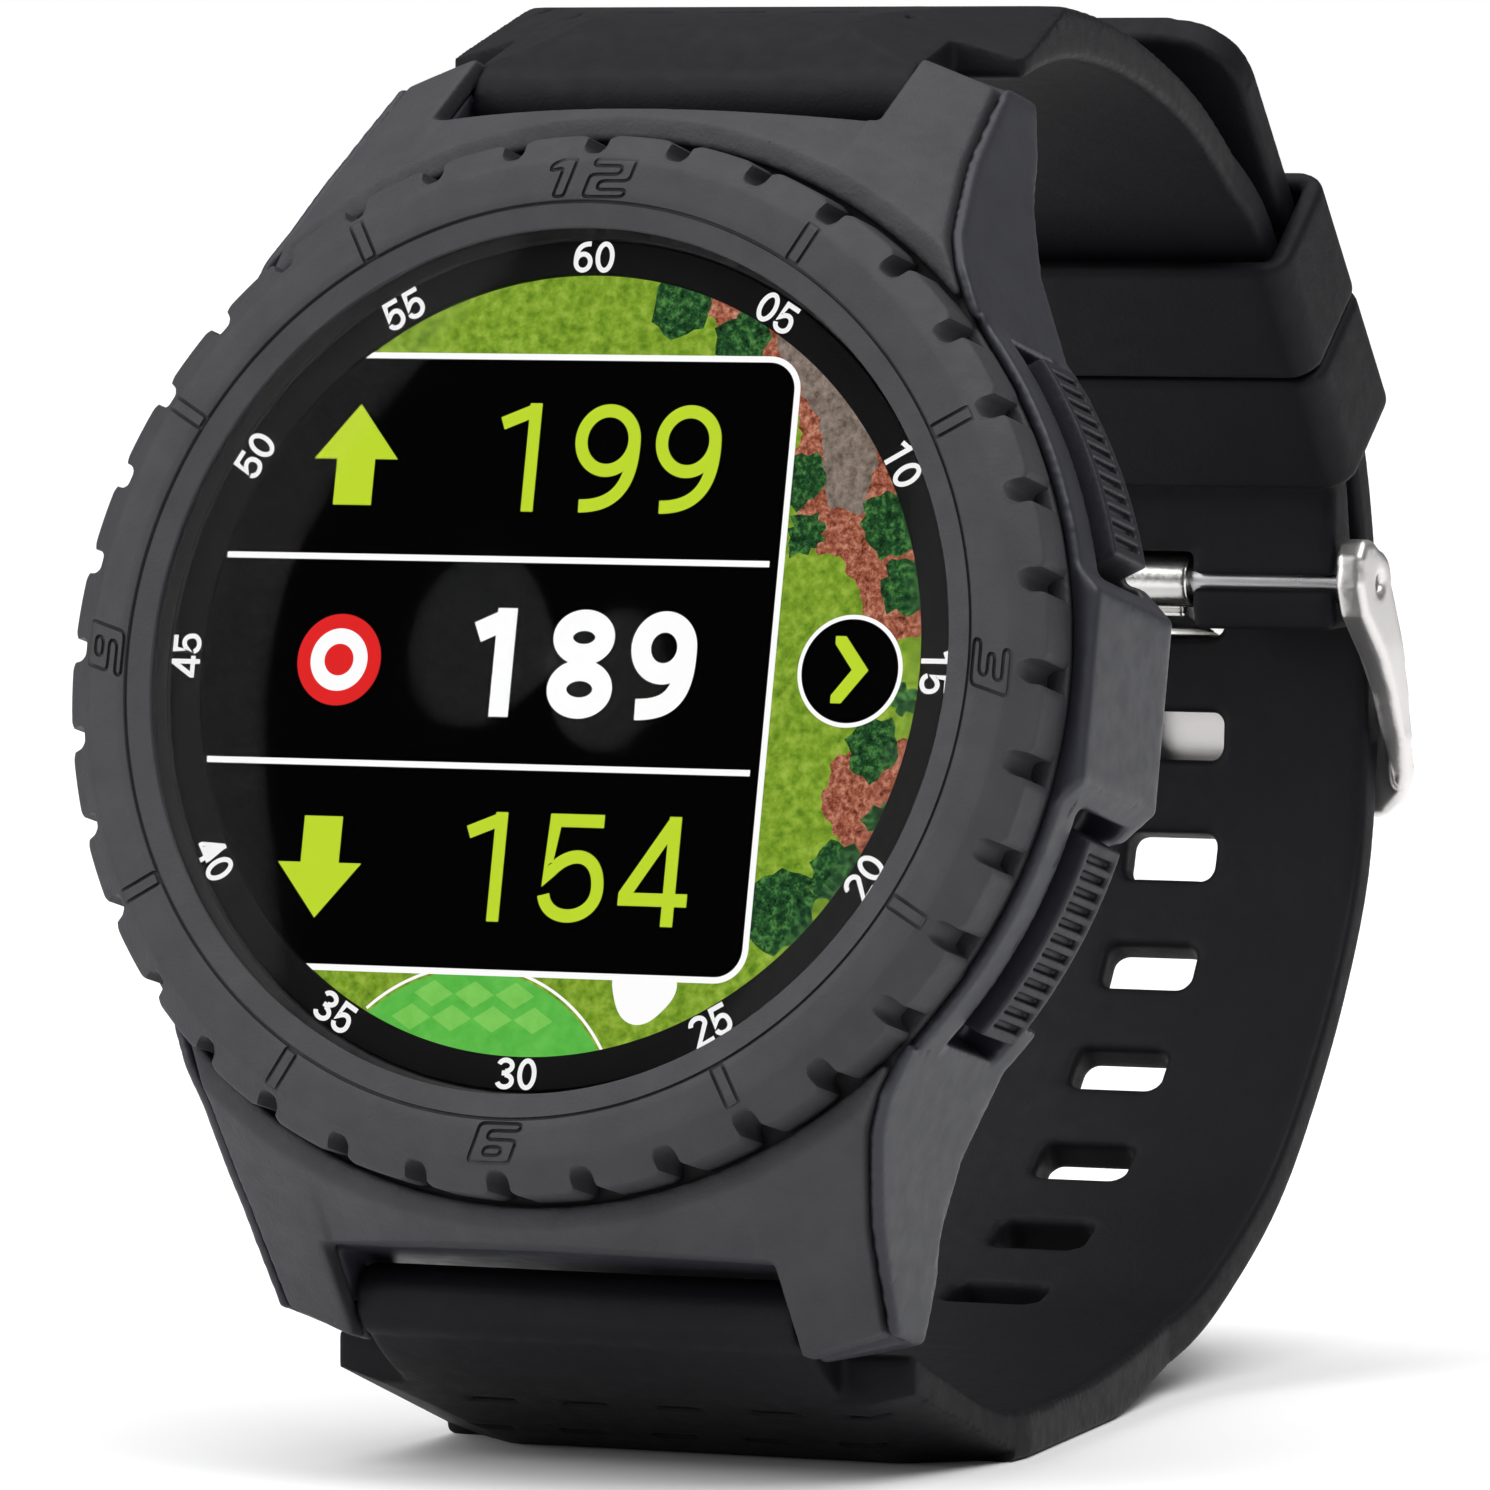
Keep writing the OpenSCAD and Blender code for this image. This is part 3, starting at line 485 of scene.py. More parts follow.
def pockets(node, rows, upward):
    """Short shallow pockets in rows across a strap half, on the side away from the wrist.

    Each row is (distance behind the dial, sideways shift)."""
    tree = BVHTree.FromPolygons(cad_points(node).tolist(), cad_triangles(node).tolist())
    toward = Vector((0, 0, -1 if upward else 1))
    cuts = []
    for behind, shift in rows:
        for i in range(POCKETS_PER_ROW):
            x = (i - (POCKETS_PER_ROW - 1) / 2) * POCKET_PITCH + shift
            start = Vector(DIAL + (x, behind, 0)) - toward * RAY_START
            spot, out, _, _ = tree.ray_cast(start, toward)
            out = np.array(out if out.dot(toward) < 0 else -out)
            across = np.cross(out, FACE_X)
            cuts.append(along_box(np.array(spot), FACE_X, across, out, *POCKET_HALF,
                                  POCKET_CORNER))
    return cuts


def crown(edge_y, edge_z, fall_y, fall_x, half_wide, low, high):
    """Takes the outer edges of a strap half down to a slanted plane on each side."""
    steep = 1 / math.sqrt(1 + fall_y ** 2 + fall_x ** 2)
    sign = 1 if edge_z > 0 else -1

    def distance(points):
        x, y, z = (points[..., i] - DIAL[i] for i in range(3))
        plane = edge_z + fall_y * (y - edge_y) + sign * fall_x * (half_wide - np.abs(x))
        return sign * (plane - z) * steep

    return distance, DIAL + low, DIAL + high


def make_case():
    top = softened("top_shell", edge=0.14, fillet=0.14, voxel=0.1, lean=0.02)
    place("case_top", top, SHELL, "watch", ["top_shell"])
    flanks = softened("mid_case", edge=0.22, fillet=0.2, voxel=0.11, lean=0.02)
    place("case_flanks", flanks, FLANK, "watch", ["mid_case"])
    back = softened("back_cover", edge=0.15, fillet=0.1, voxel=0.11, lean=0.05)
    place("case_back", back, BACK, "watch", ["back_cover"])


def make_pushers():
    for node in ("upper_button", "lower_button"):
        cap = softened(node, edge=0.1, fillet=0.06, voxel=0.055, lean=0.02)
        place(node + "_cap", cap, PUSHER, node, [node])


# Rows of pockets: (distance behind the dial, sideways shift).
UPPER_ROWS = [(19.5, 0.1), (23.5, -2.2), (27.5, 0.1)]
LOWER_ROWS = [(8.5, 2.1), (12.3, 0.1)]
# Edge plane: a point of the edge, how it falls backwards and outwards, half the strap's
# width, and the lowest and highest corners of the space it cuts.
UPPER_CROWN = (21.0, 27.5, 0.33, 0.3, 14.35, (-15, 13, 20), (15, 30, 32))
LOWER_CROWN = (9.6, -33.5, -0.33, 0.3, 14.35, (-15, 5, -38), (15, 18, -29))


def make_strap(name, node, rows, edge_plane, upward):
    cuts = pockets(node, rows, upward) + [crown(*edge_plane)]
    mesh = softened(node, edge=0.3, fillet=0.2, voxel=0.12, cuts=cuts, lean=0.01)
    place(name, mesh, RUBBER, "watch", [node])


def make_keeper(name, node, body):
    mesh = softened(node, edge=0.4, fillet=0.3, voxel=0.1, lean=0.01)
    place(name, mesh, RUBBER, body, [node])


def make_straps():
    make_strap("strap_upper", "upper_strap", UPPER_ROWS, UPPER_CROWN, True)
    make_strap("strap_lower", "lower_strap", LOWER_ROWS, LOWER_CROWN, False)
    make_keeper("keeper_fixed", "fixed_keeper", "watch")
    make_keeper("keeper_free", "free_keeper", "free_keeper")


def make_buckle():
    loop = softened("buckle_frame", edge=0.3, fillet=0.25, voxel=0.09, lean=0.01)
    place("buckle_loop", loop, BUCKLE, "buckle", ["buckle_frame"])
    pin = softened("buckle_tongue", edge=0.15, fillet=0.1, voxel=0.06, lean=0.01)
    place("buckle_pin", pin, TONGUE, "tongue", ["buckle_tongue"])


# ------------------------------------------------------------------ bezel

(BEZEL_IN, BEZEL_OUT), (BEZEL_FOOT, BEZEL_TOP) = spans("bezel_ring")
NOTCHES = 36
GROOVE_DEPTH = 0.24
GROOVE_HALF = 0.085
FLAT_START = 20.2
FLAT_FALL = 0.1
BEVEL_START = 22.5
BEVEL_FOOT = 0.55
NUMERAL_R = 21.72


def notch_depth(across):
    """How far the rim is cut in, at a distance across from a notch's middle."""
    shoulder, wall, deep = 0.98, 0.56, 0.98
    a = np.abs(across)
    bowl = deep * np.sqrt(np.clip(1 - (a / (wall + 0.05)) ** 4, 0, 1))
    slope = 0.16 * (1 - np.clip((a - wall) / (shoulder - wall), 0, 1)) ** 2
    return np.where(a < wall, np.maximum(bowl, 0.16), slope)


def notch_columns():
    """Angles of the columns round the bezel, close together at each notch."""
    near = np.concatenate([
        np.linspace(-0.98, -0.62, 5), np.linspace(-0.58, -0.545, 4),
        np.linspace(-0.5, 0.5, 9), np.linspace(0.545, 0.58, 4), np.linspace(0.62, 0.98, 5),
    ])
    pitch = 2 * math.pi / NOTCHES
    between = np.linspace(1.2, BEZEL_OUT * pitch - 1.2, 7)
    one = np.concatenate([near, between]) / BEZEL_OUT
    depth = notch_depth(np.concatenate([near, np.full(len(between), 9.0)]))
    angles = np.concatenate([one + i * pitch for i in range(NOTCHES)])
    return angles, np.tile(depth, NOTCHES)


def flat_height(r):
    """Height of the bezel's top at a radius."""
    return BEZEL_TOP - FLAT_FALL * (r - FLAT_START) / (BEVEL_START - FLAT_START)


def bevel_height(r):
    """Height of the slope outside the top."""
    share = (r - BEVEL_START) / (BEZEL_OUT - BEVEL_START)
    top = BEZEL_TOP - FLAT_FALL
    return top - (top - BEVEL_FOOT) * share


def bezel_mesh():
    """The bezel as rings of points, from the foot of its bore, over the top, to the rim."""
    angles, depth = notch_columns()
    rim = BEZEL_OUT - depth
    ones = np.ones(len(angles))
    rows = []

    def ring(r, z):
        rows.append((r * ones, z * ones))

    bore, lip = BEZEL_IN + 1.2, 1.2
    ring(bore, BEZEL_FOOT)
    ring(bore, 1.14)
    ring(BEZEL_IN + 0.04, 1.17)
    for r, z in ((0.0, lip + 0.02), (0.0, lip + 0.12), (0.05, lip + 0.2), (0.95, 1.56),
                 (1.06, 1.58), (1.09, 1.42), (1.2, 1.42), (1.23, BEZEL_TOP - 0.06),
                 (1.28, BEZEL_TOP - 0.03)):
        ring(BEZEL_IN + r, z)
    for r, fall in ((21.2, 0), (22.0, 0), (BEVEL_START - 0.12, 0.003), (BEVEL_START, 0.03)):
        ring(r, flat_height(r) - fall)
    start = BEVEL_START + 0.12
    ring(start, bevel_height(start) - 0.005)
    for share in (0.3, 0.6, 0.85):
        r = start + (rim - 0.14 - start) * share
        rows.append((r, bevel_height(r)))
    edge = bevel_height(rim)
    for r, z in ((0.14, 0.12), (0.05, 0.03), (0.012, -0.06), (0.0, -0.16)):
        rows.append((rim - r, edge + z))
    low = BEZEL_FOOT + 0.3
    for share in (0.35, 0.7, 1.0):
        rows.append((rim, (edge - 0.16) * (1 - share) + low * share))
    rows.append((rim - 0.1, ones * (low - 0.2)))
    rows.append((rim - 0.3, ones * BEZEL_FOOT))
    r = np.stack([row[0] for row in rows])
    z = np.stack([row[1] for row in rows])
    points = np.stack([r * np.cos(angles), r * np.sin(angles), z], -1).reshape(-1, 3)
    return new_mesh("bezel", to_row(points), grid_faces(len(rows), len(angles), True))


DIGITS = {
    "1": [[(0.4, 0), (0.66, 0), (0.66, 1.5), (0.36, 1.5), (0.1, 1.26), (0.1, 1.0),
           (0.4, 1.14)]],
    "2": [[(0, 1.5), (1, 1.5), (1, 0.62), (0.28, 0.62), (0.28, 0.28), (1, 0.28), (1, 0),
           (0, 0), (0, 0.88), (0.72, 0.88), (0.72, 1.22), (0, 1.22)]],
    "3": [[(0, 1.5), (1, 1.5), (1, 0), (0, 0), (0, 0.28), (0.72, 0.28), (0.72, 0.62),
           (0.2, 0.62), (0.2, 0.88), (0.72, 0.88), (0.72, 1.22), (0, 1.22)]],
    "6": [[(0, 1.5), (1, 1.5), (1, 1.22), (0.28, 1.22), (0.28, 0.88), (1, 0.88), (1, 0),
           (0, 0)], [(0.3, 0.28), (0.72, 0.28), (0.72, 0.6), (0.3, 0.6)]],
}
DIGITS["9"] = [[(1 - x, 1.5 - y) for x, y in loop] for loop in DIGITS["6"]]


def engraved_loops(text, size, angle, upright):
    """Outlines of a squared, slanted numeral at an angle round the dial."""
    loops = []
    pitch = 1.12
    for place_no, digit in enumerate(text):
        shift = (place_no - (len(text) - 1) / 2) * pitch
        for loop in DIGITS[digit]:
            points = rounded_profile(loop, 0.16, 3)
            x = (points[:, 0] - 0.5 + shift + 0.18 * (points[:, 1] - 0.75)) * size * 1.72
            y = (points[:, 1] - 0.75) * size
            if upright:
                x, y = -x, -y
            y = y + NUMERAL_R
            c, s = math.cos(angle), math.sin(angle)
            loops.append(np.stack([x * c + y * s, y * c - x * s], -1))
    return loops


def offset_loop(loop, by):
    """A closed outline moved sideways by a distance."""
    ahead = np.roll(loop, -1, 0) - loop
    ahead = ahead / np.maximum(np.linalg.norm(ahead, axis=1, keepdims=True), 1e-9)
    side = np.stack([-ahead[:, 1], ahead[:, 0]], -1)
    mean = side + np.roll(side, 1, 0)
    mean = mean / np.maximum(np.linalg.norm(mean, axis=1, keepdims=True), 1e-9)
    stretch = 1 / np.maximum((mean * side).sum(1, keepdims=True), 0.6)
    return loop + mean * stretch * by


def hour_loops(hour):
    """Outline of the small bar at an hour without a numeral."""
    half_long, half_wide = 0.98, 0.3
    corners = [(-half_wide, -half_long), (half_wide, -half_long),
               (half_wide, half_long), (-half_wide, half_long)]
    points = rounded_profile(corners, 0.12, 2)
    angle = hour * math.pi / 6
    c, s = math.cos(angle), math.sin(angle)
    x, y = points[:, 0], points[:, 1] + NUMERAL_R
    return [np.stack([x * c + y * s, y * c - x * s], -1)]


def engraving():
    loops = []
    for hour in (1, 2, 4, 5, 7, 8, 10, 11):
        loops += hour_loops(hour)
    for text, hour, flipped in (("12", 0, False), ("3", 3, False), ("6", 6, True),
                                ("9", 9, False)):
        loops += engraved_loops(text, 1.17, hour * math.pi / 6, flipped)
    return loops


def groove_cutter(depth, half):
    """Closed rings along every engraved outline, which reach above the bezel."""
    low, high = BEZEL_TOP - depth, BEZEL_TOP + 0.3
    points, faces, base = [], [], 0
    for loop in engraving():
        outer, inner = offset_loop(loop, half), offset_loop(loop, -half)
        rings = [(outer, low), (outer, high), (inner, high), (inner, low)]
        part = np.concatenate([np.column_stack([line, np.full(len(line), z)])
                               for line, z in rings])
        quads = grid_faces(4, len(loop), True)
        if signed_volume(part, np.concatenate([quads[:, :3], quads[:, [0, 2, 3]]])) < 0:
            quads = quads[:, ::-1]
        points.append(part)
        faces.append(quads + base)
        base += len(part)
    return new_mesh("engraving", to_row(np.concatenate(points)), np.concatenate(faces))


def make_bezel():
    ring = place("bezel_grip", bezel_mesh(), BEZEL, "bezel", ["bezel_ring"])
    cutter_mesh = groove_cutter(GROOVE_DEPTH, GROOVE_HALF)
    cutter = bpy.data.objects.new("engraving_cutter", cutter_mesh)
    SCENE.collection.objects.link(cutter)
    # The faces cut by the grooves take the darker groove colour, which is painted shade in the
    # recesses.
    ring.data.materials.append(GROOVE_PAINTED_SHADE)
    cutter_mesh.materials.append(GROOVE_PAINTED_SHADE)
    cut = ring.modifiers.new("engrave", "BOOLEAN")
    cut.object = cutter
    cut.operation = "DIFFERENCE"
    cut.solver = "MANIFOLD"
    cut.material_mode = "TRANSFER"
    bpy.context.view_layer.update()
    seen = ring.evaluated_get(bpy.context.evaluated_depsgraph_get())
    carved = bpy.data.meshes.new_from_object(seen)
    ring.modifiers.clear()
    ring.data = carved
    bpy.data.objects.remove(cutter)
    carved.polygons.foreach_set("use_smooth", np.ones(len(carved.polygons), bool))
    carved.set_sharp_from_angle(angle=math.radians(40))


# ------------------------------------------------------------------ glass and dial

SCREEN = spans("display_module")[1][1]
RING_TOP = spans("dial_ring")[1][1]
SCREEN_R = 17.65
LAYER = 0.02


def circle(x, y, r, steps=96, start=0.0, end=2 * math.pi):
    turns = np.linspace(start, end, steps, endpoint=abs(end - start) < 6.28)
    return np.stack([x + r * np.cos(turns), y + r * np.sin(turns)], -1)


def clipped(outline):
    """An outline with its points drawn in to the screen's circle."""
    away = np.linalg.norm(outline, axis=1, keepdims=True)
    return outline * np.minimum(1, SCREEN_R / np.maximum(away, 1e-9))


def dense(corners, step):
    """An outline with points no further apart than step."""
    corners = np.asarray(corners, float)
    out = []
    for a, b in zip(corners, np.roll(corners, -1, 0)):
        count = max(1, int(np.linalg.norm(b - a) / step))
        out += [a + (b - a) * i / count for i in range(count)]
    return np.array(out)


def screen_piece(name, loops, layer, material):
    mesh = flat_mesh(name, loops, SCREEN + 0.01 + layer * LAYER, LAYER * 0.8)
    return place(name, mesh, material, "watch")


def arc(x, y, wide, high, start, end, steps=24):
    """Part of an ellipse; the angles are in degrees, anticlockwise from the right."""
    turns = np.radians(np.linspace(start, end, steps))
    return np.stack([x + wide * np.cos(turns), y + high * np.sin(turns)], -1)


def sweep(a, b, c, d, steps=24):
    """A cubic curve from a to d, drawn towards b and c."""
    t = np.linspace(0, 1, steps)[:, None]
    a, b, c, d = (np.asarray(p, float) for p in (a, b, c, d))
    return ((1 - t) ** 3 * a + 3 * t * (1 - t) ** 2 * b + 3 * t * t * (1 - t) * c
            + t ** 3 * d)


def digit_strokes(digit, w):
    """Strokes of a plain sans digit of height 1, with a line of width w.

    Each is (points, closed), and the points run along the middle of the line."""
    h, left, right, middle = w / 2, w / 2, 0.65 - w / 2, 0.325
    wide = right - middle
    if digit == "0":
        return [(arc(middle, 0.5, wide, 0.5 - h, 0, 360, 64)[:-1], True)]
    if digit == "1":
        stem = [(0.44 - h, 0), (0.44 - h, 1.0)]
        flag = [(0.06, 0.87 - h), (0.44 - w * 0.45, 1.0 - h)]
        return [(np.array(stem), False), (np.array(flag), False)]
    if digit == "2":
        top = arc(middle, 0.72, wide, 0.28 - h, 175, -20)
        return [(np.concatenate([top, [(left + w * 0.1, h), (0.66, h)]]), False)]
    if digit == "3":
        upper = arc(middle - 0.01, 0.745, wide - 0.02, 0.255 - h, 165, -90, 30)
        lower = arc(middle - 0.01, 0.27, wide, 0.27 - h, 90, -165, 30)
        bar = np.array([(middle - 0.12, 0.515), (middle, 0.515)])
        return [(upper, False), (lower, False), (bar, False)]
    if digit == "4":
        slope = [(0.5, 0.96), (0.06, 0.28), (0.06, 0.23 + h * 0.2), (0.68, 0.23 + h * 0.2)]
        return [(np.array(slope), False), (np.array([(0.5, 0), (0.5, 1.0)]), False)]
    if digit == "5":
        bowl = sweep((left + 0.02, 0.44), (middle - 0.02, 0.72), (right, 0.64), (right, 0.33))
        under = sweep((right, 0.33), (right, -0.04 + h), (left + 0.05, h - 0.08), (left, 0.26))
        corner = [(0.6, 1 - h), (left + 0.06, 1 - h), (left + 0.02, 0.44)]
        return [(np.concatenate([corner, bowl[1:], under[1:]]), False)]
    if digit == "6":
        return [(np.stack([0.65 - p[:, 0], 1 - p[:, 1]], -1), closed)
                for p, closed in digit_strokes("9", w)]
    if digit == "8":
        upper = arc(middle, 0.745, wide * 0.92, 0.255 - h, 0, 360, 56)[:-1]
        lower = arc(middle, 0.27, wide, 0.27 - h, 0, 360, 56)[:-1]
        return [(upper, True), (lower, True)]
    bowl = arc(middle, 0.665, wide, 0.335 - h, 0, 360, 60)[:-1]
    tail = sweep((right, 0.68), (right + 0.02, 0.24), (0.44, h), (0.09, h))
    return [(bowl, True), (tail, False)]


def ribbon(points, half):
    """Outline of a line of constant width with square ends."""
    points = np.asarray(points, float)
    step = np.diff(points, axis=0)
    step = step / np.linalg.norm(step, axis=1, keepdims=True)
    side = np.stack([-step[:, 1], step[:, 0]], -1)
    before, after = np.vstack([side[:1], side]), np.vstack([side, side[-1:]])
    mean = before + after
    mean = mean / np.linalg.norm(mean, axis=1, keepdims=True)
    stretch = 1 / np.maximum((mean * after).sum(1, keepdims=True), 0.5)
    return np.concatenate([points + mean * stretch * half, (points - mean * stretch * half)[::-1]])


def digit_meshes(text, height, left, bottom, advance, weight, level, turn=0.0):
    """Thin plates for digits of a height, whose first cell starts at (left, bottom)."""
    meshes = []
    c, s = math.cos(turn), math.sin(turn)
    for number, digit in enumerate(text):
        for layer, (stroke, closed) in enumerate(digit_strokes(digit, weight)):
            half = weight / 2
            loops = [offset_loop(stroke, half), offset_loop(stroke, -half)] if closed else [
                ribbon(stroke, half)]
            placed = []
            for loop in loops:
                x = left + number * advance + loop[:, 0] * height
                y = bottom + loop[:, 1] * height
                placed.append(np.stack([x * c + y * s, y * c - x * s], -1))
            meshes.append(flat_mesh("digit", placed, level, LAYER * (0.7 + 0.1 * layer)))
    return meshes


def make_glass():
    (_, glass_r), (low, high) = spans("cover_glass")
    profile = rounded_profile([(0.01, low), (glass_r, low), (glass_r, high - 0.2),
                               (glass_r - 0.2, high), (0.01, high)], 0.06)
    place("glass_lens", lathe("glass", profile), GLASS, "watch", ["cover_glass"])


def make_border():
    (_, out), (low, high) = spans("dial_ring")
    corners = [(SCREEN_R, low), (out, low), (out, high), (SCREEN_R, high)]
    mesh = lathe("border", rounded_profile(corners, 0.05))
    place("dial_border", mesh, BORDER, "watch", ["dial_ring"])


def make_minutes():
    """White minute numerals, which glow with painted light; those in the lower half have their
    tops to the middle.
    """
    height, advance, middle = 1.42, 1.06, 18.42
    meshes = []
    for minute in range(5, 65, 5):
        turn = minute / 60 * 2 * math.pi
        bottom = middle - height / 2
        if 20 <= minute <= 40:
            turn, bottom = turn + math.pi, -middle - height / 2
        meshes += digit_meshes("%02d" % minute, height, -advance / 2 - 0.46, bottom, advance,
                               0.155, RING_TOP + 0.005, turn)
    place("dial_minutes", join("minutes", meshes), PRINT_PAINTED_GLOW, "watch")


def make_screen():
    grass = lit_mix("screen_grass", 0.5, [
        (0.3, (0.09, 0.19, 0.012)), (0.5, (0.20, 0.34, 0.025)), (0.7, (0.33, 0.47, 0.06))])
    leaves = lit_mix("screen_leaves", 0.35, [
        (0.36, (0.004, 0.012, 0.006)), (0.5, (0.015, 0.07, 0.02)),
        (0.64, (0.09, 0.26, 0.06))], 8.0, 0.75)
    mulch = lit_mix("screen_mulch", 0.3, [
        (0.35, (0.06, 0.012, 0.008)), (0.5, (0.32, 0.09, 0.05)),
        (0.66, (0.62, 0.30, 0.2))], 8.0, 0.75)
    path = lit_mix("screen_path", 0.4, [
        (0.35, (0.10, 0.075, 0.06)), (0.65, (0.30, 0.24, 0.2))], 8.0, 0.7)
    green = lit_mix("screen_green", 0.8, [
        (0.3, (0.08, 0.42, 0.05)), (0.7, (0.13, 0.52, 0.08))])
    green_light = lit_mix("screen_green_light", 0.8, [
        (0.3, (0.17, 0.52, 0.08)), (0.7, (0.22, 0.60, 0.11))])
    screen_piece("screen_grass_field", [circle(0, 0, SCREEN_R, 160)], 0, grass)
    screen_piece("screen_mulch_bed", [mulch_outline()], 1, mulch)
    screen_piece("screen_mulch_low", [mulch_low_outline()], 1, mulch)
    screen_piece("screen_path_way", [path_outline()], 2, path)
    screen_piece("screen_bushes", bush_outlines(), 3, leaves)
    screen_piece("screen_green_disc", [clipped(circle(*GREEN_AT, GREEN_R, 120))], 1, green)
    screen_piece("screen_green_rim", ring_loops(*GREEN_AT, GREEN_R + 0.12, 0.13), 2, WHITE)
    screen_piece("screen_green_mown", mown_loops(), 2, green_light)
    screen_piece("screen_bunker", [clipped(blob(5.6, -14.4, 1.55, 1.5))], 2, WHITE)
    make_panel()
    make_readings()
    make_next_button()


def blob(x, y, wide, high):
    """A slightly uneven round patch."""
    turns = np.linspace(0, 2 * math.pi, 60, endpoint=False)
    wobble = 1 + 0.08 * np.sin(3 * turns + 0.7)
    return np.stack([x + wide * wobble * np.cos(turns), y + high * wobble * np.sin(turns)], -1)


GREEN_AT = (-2.6, -21.3)
GREEN_R = 7.5


def ring_loops(x, y, r, wide):
    """The part of a circle's line that lies on the screen, as a closed band."""
    turns = np.linspace(0, math.pi, 200)
    outer = np.stack([x + (r + wide) * np.cos(turns), y + (r + wide) * np.sin(turns)], -1)
    inner = np.stack([x + r * np.cos(turns), y + r * np.sin(turns)], -1)
    keep = np.linalg.norm(outer, axis=1) < SCREEN_R - 0.05
    return [np.concatenate([outer[keep], inner[keep][::-1]])]


def mown_loops():
    """Light diamonds of the mown pattern on the green."""
    size = 1.75
    loops = []
    for row in range(3):
        for column in range(-3, 4):
            x = GREEN_AT[0] + (column + 0.5 * (row % 2)) * size * 1.15
            y = -14.9 - row * size * 0.62
            corners = np.array([(x - size * 0.55, y), (x, y + size * 0.34),
                                (x + size * 0.55, y), (x, y - size * 0.34)])
            reach = np.linalg.norm(corners - GREEN_AT, axis=1).max()
            if reach < GREEN_R - 0.1 and np.linalg.norm(corners, axis=1).max() < SCREEN_R:
                loops.append(corners)
    return loops


def ragged(points, seed, amount=0.22):
    """An outline with a natural ragged edge."""
    points = dense(points, 0.25)
    waves = np.random.default_rng(seed)
    s = np.arange(len(points))
    wobble = sum(waves.uniform(0.4, 1) * np.sin(s * f + waves.uniform(0, 6))
                 for f in (0.5, 0.9, 1.7, 2.6)) * amount / 2
    ahead = np.roll(points, -1, 0) - np.roll(points, 1, 0)
    ahead = ahead / np.maximum(np.linalg.norm(ahead, axis=1, keepdims=True), 1e-9)
    return points + np.stack([-ahead[:, 1], ahead[:, 0]], -1) * wobble[:, None]


def mulch_outline():
    return clipped(ragged([(4.8, 18), (7.2, 13.2), (10.6, 11.4), (10.9, 5.6), (13.4, 5.0),
                           (14.8, 2.4), (16.2, 1.2), (18, 2), (17, 9), (12, 15)], 3))


def mulch_low_outline():
    return clipped(ragged([(18, -2.8), (15.2, -3.2), (13.6, -4.0), (13.5, -6.4), (15.0, -8.4),
                           (18, -8)], 5))


def path_outline():
    return clipped(ragged([(9.6, 17), (9.2, 14.4), (11.6, 11.2), (12.3, 7.4), (14.1, 7.0),
                           (14.6, 9.6), (13.2, 13), (11.5, 16)], 8, 0.15))


def bush_outlines():
    """Round bushes and tree crowns down the right of the screen.

    Each is (x, y, radius, seed of its ragged edge)."""
    crowns = [(4.4, 16.4, 1.5, 20), (7.6, 14.9, 1.35, 21), (10.9, 8.5, 1.25, 23),
              (11.4, 6.1, 0.9, 24), (15.6, 6.6, 1.5, 25), (16.4, 3.8, 1.2, 26),
              (15.6, -3.4, 1.3, 27), (16.6, -6.6, 0.9, 28), (11.8, -10.7, 1.8, 29),
              (14.4, -8.9, 1.3, 30), (16.9, -1.2, 0.7, 31)]
    return [clipped(ragged(circle(x, y, r, 24), seed, 0.3)) for x, y, r, seed in crowns]


def make_panel():
    """Black panel with a white edge, and the lines between its rows."""
    right, top, corner, edge = 10.55, 14.05, 1.55, 0.28
    outline = panel_outline(right, top, corner)
    inside = panel_outline(right - edge, top - edge, corner - edge)
    screen_piece("screen_panel_edge", [outline], 4, WHITE)
    screen_piece("screen_panel", [inside], 5, BLACK)
    lines = []
    for y in (-4.66, 4.7):
        start, end, half = -math.sqrt(SCREEN_R ** 2 - y * y) + 0.02, 9.85, 0.14
        lines.append([(start, y - half), (end, y - half), (end, y + half), (start, y + half)])
    screen_piece("screen_panel_lines", lines, 6, WHITE)


def panel_outline(right, top, corner):
    """The screen's circle, cut off above, below and at the right with round corners."""
    upper = circle(right - corner, top - corner, corner, 12, 0, math.pi / 2)
    lower = circle(right - corner, -top + corner, corner, 12, -math.pi / 2, 0)
    reach = math.acos(-math.sqrt(SCREEN_R ** 2 - top ** 2) / SCREEN_R)
    left = circle(0, 0, SCREEN_R, 80, reach, 2 * math.pi - reach)
    return np.concatenate([lower, upper, left])


def make_readings():
    level, height, advance = SCREEN + 0.01 + 6 * LAYER, 4.92, 3.96
    for name, text, left, bottom, weight, material in (
            ("screen_far_digits", "199", -4.15, 6.88, 0.12, LIME),
            ("screen_middle_digits", "189", -4.4, -2.42, 0.195, WHITE),
            ("screen_near_digits", "154", -3.9, -11.62, 0.12, LIME)):
        meshes = digit_meshes(text, height, left, bottom, advance, weight, level)
        place(name, join(name, meshes), material, "watch")
    arrow = np.array([(-2.08, -0.2), (0, 2.3), (2.08, -0.2), (0.95, -0.2), (0.95, -2.3),
                      (-0.95, -2.3), (-0.95, -0.2)])
    screen_piece("screen_arrows", [arrow + (-11.0, 9.36), arrow * (1, -1) + (-10.85, -9.4)],
                 6, LIME)
    screen_piece("screen_mark_ring", [circle(-10.87, 0, 2.08), circle(-10.87, 0, 1.42)], 6, RED)
    screen_piece("screen_mark_band", [circle(-10.87, 0, 1.42), circle(-10.87, 0, 0.72)], 6, WHITE)
    screen_piece("screen_mark_dot", [circle(-10.87, 0, 0.72)], 6, RED)


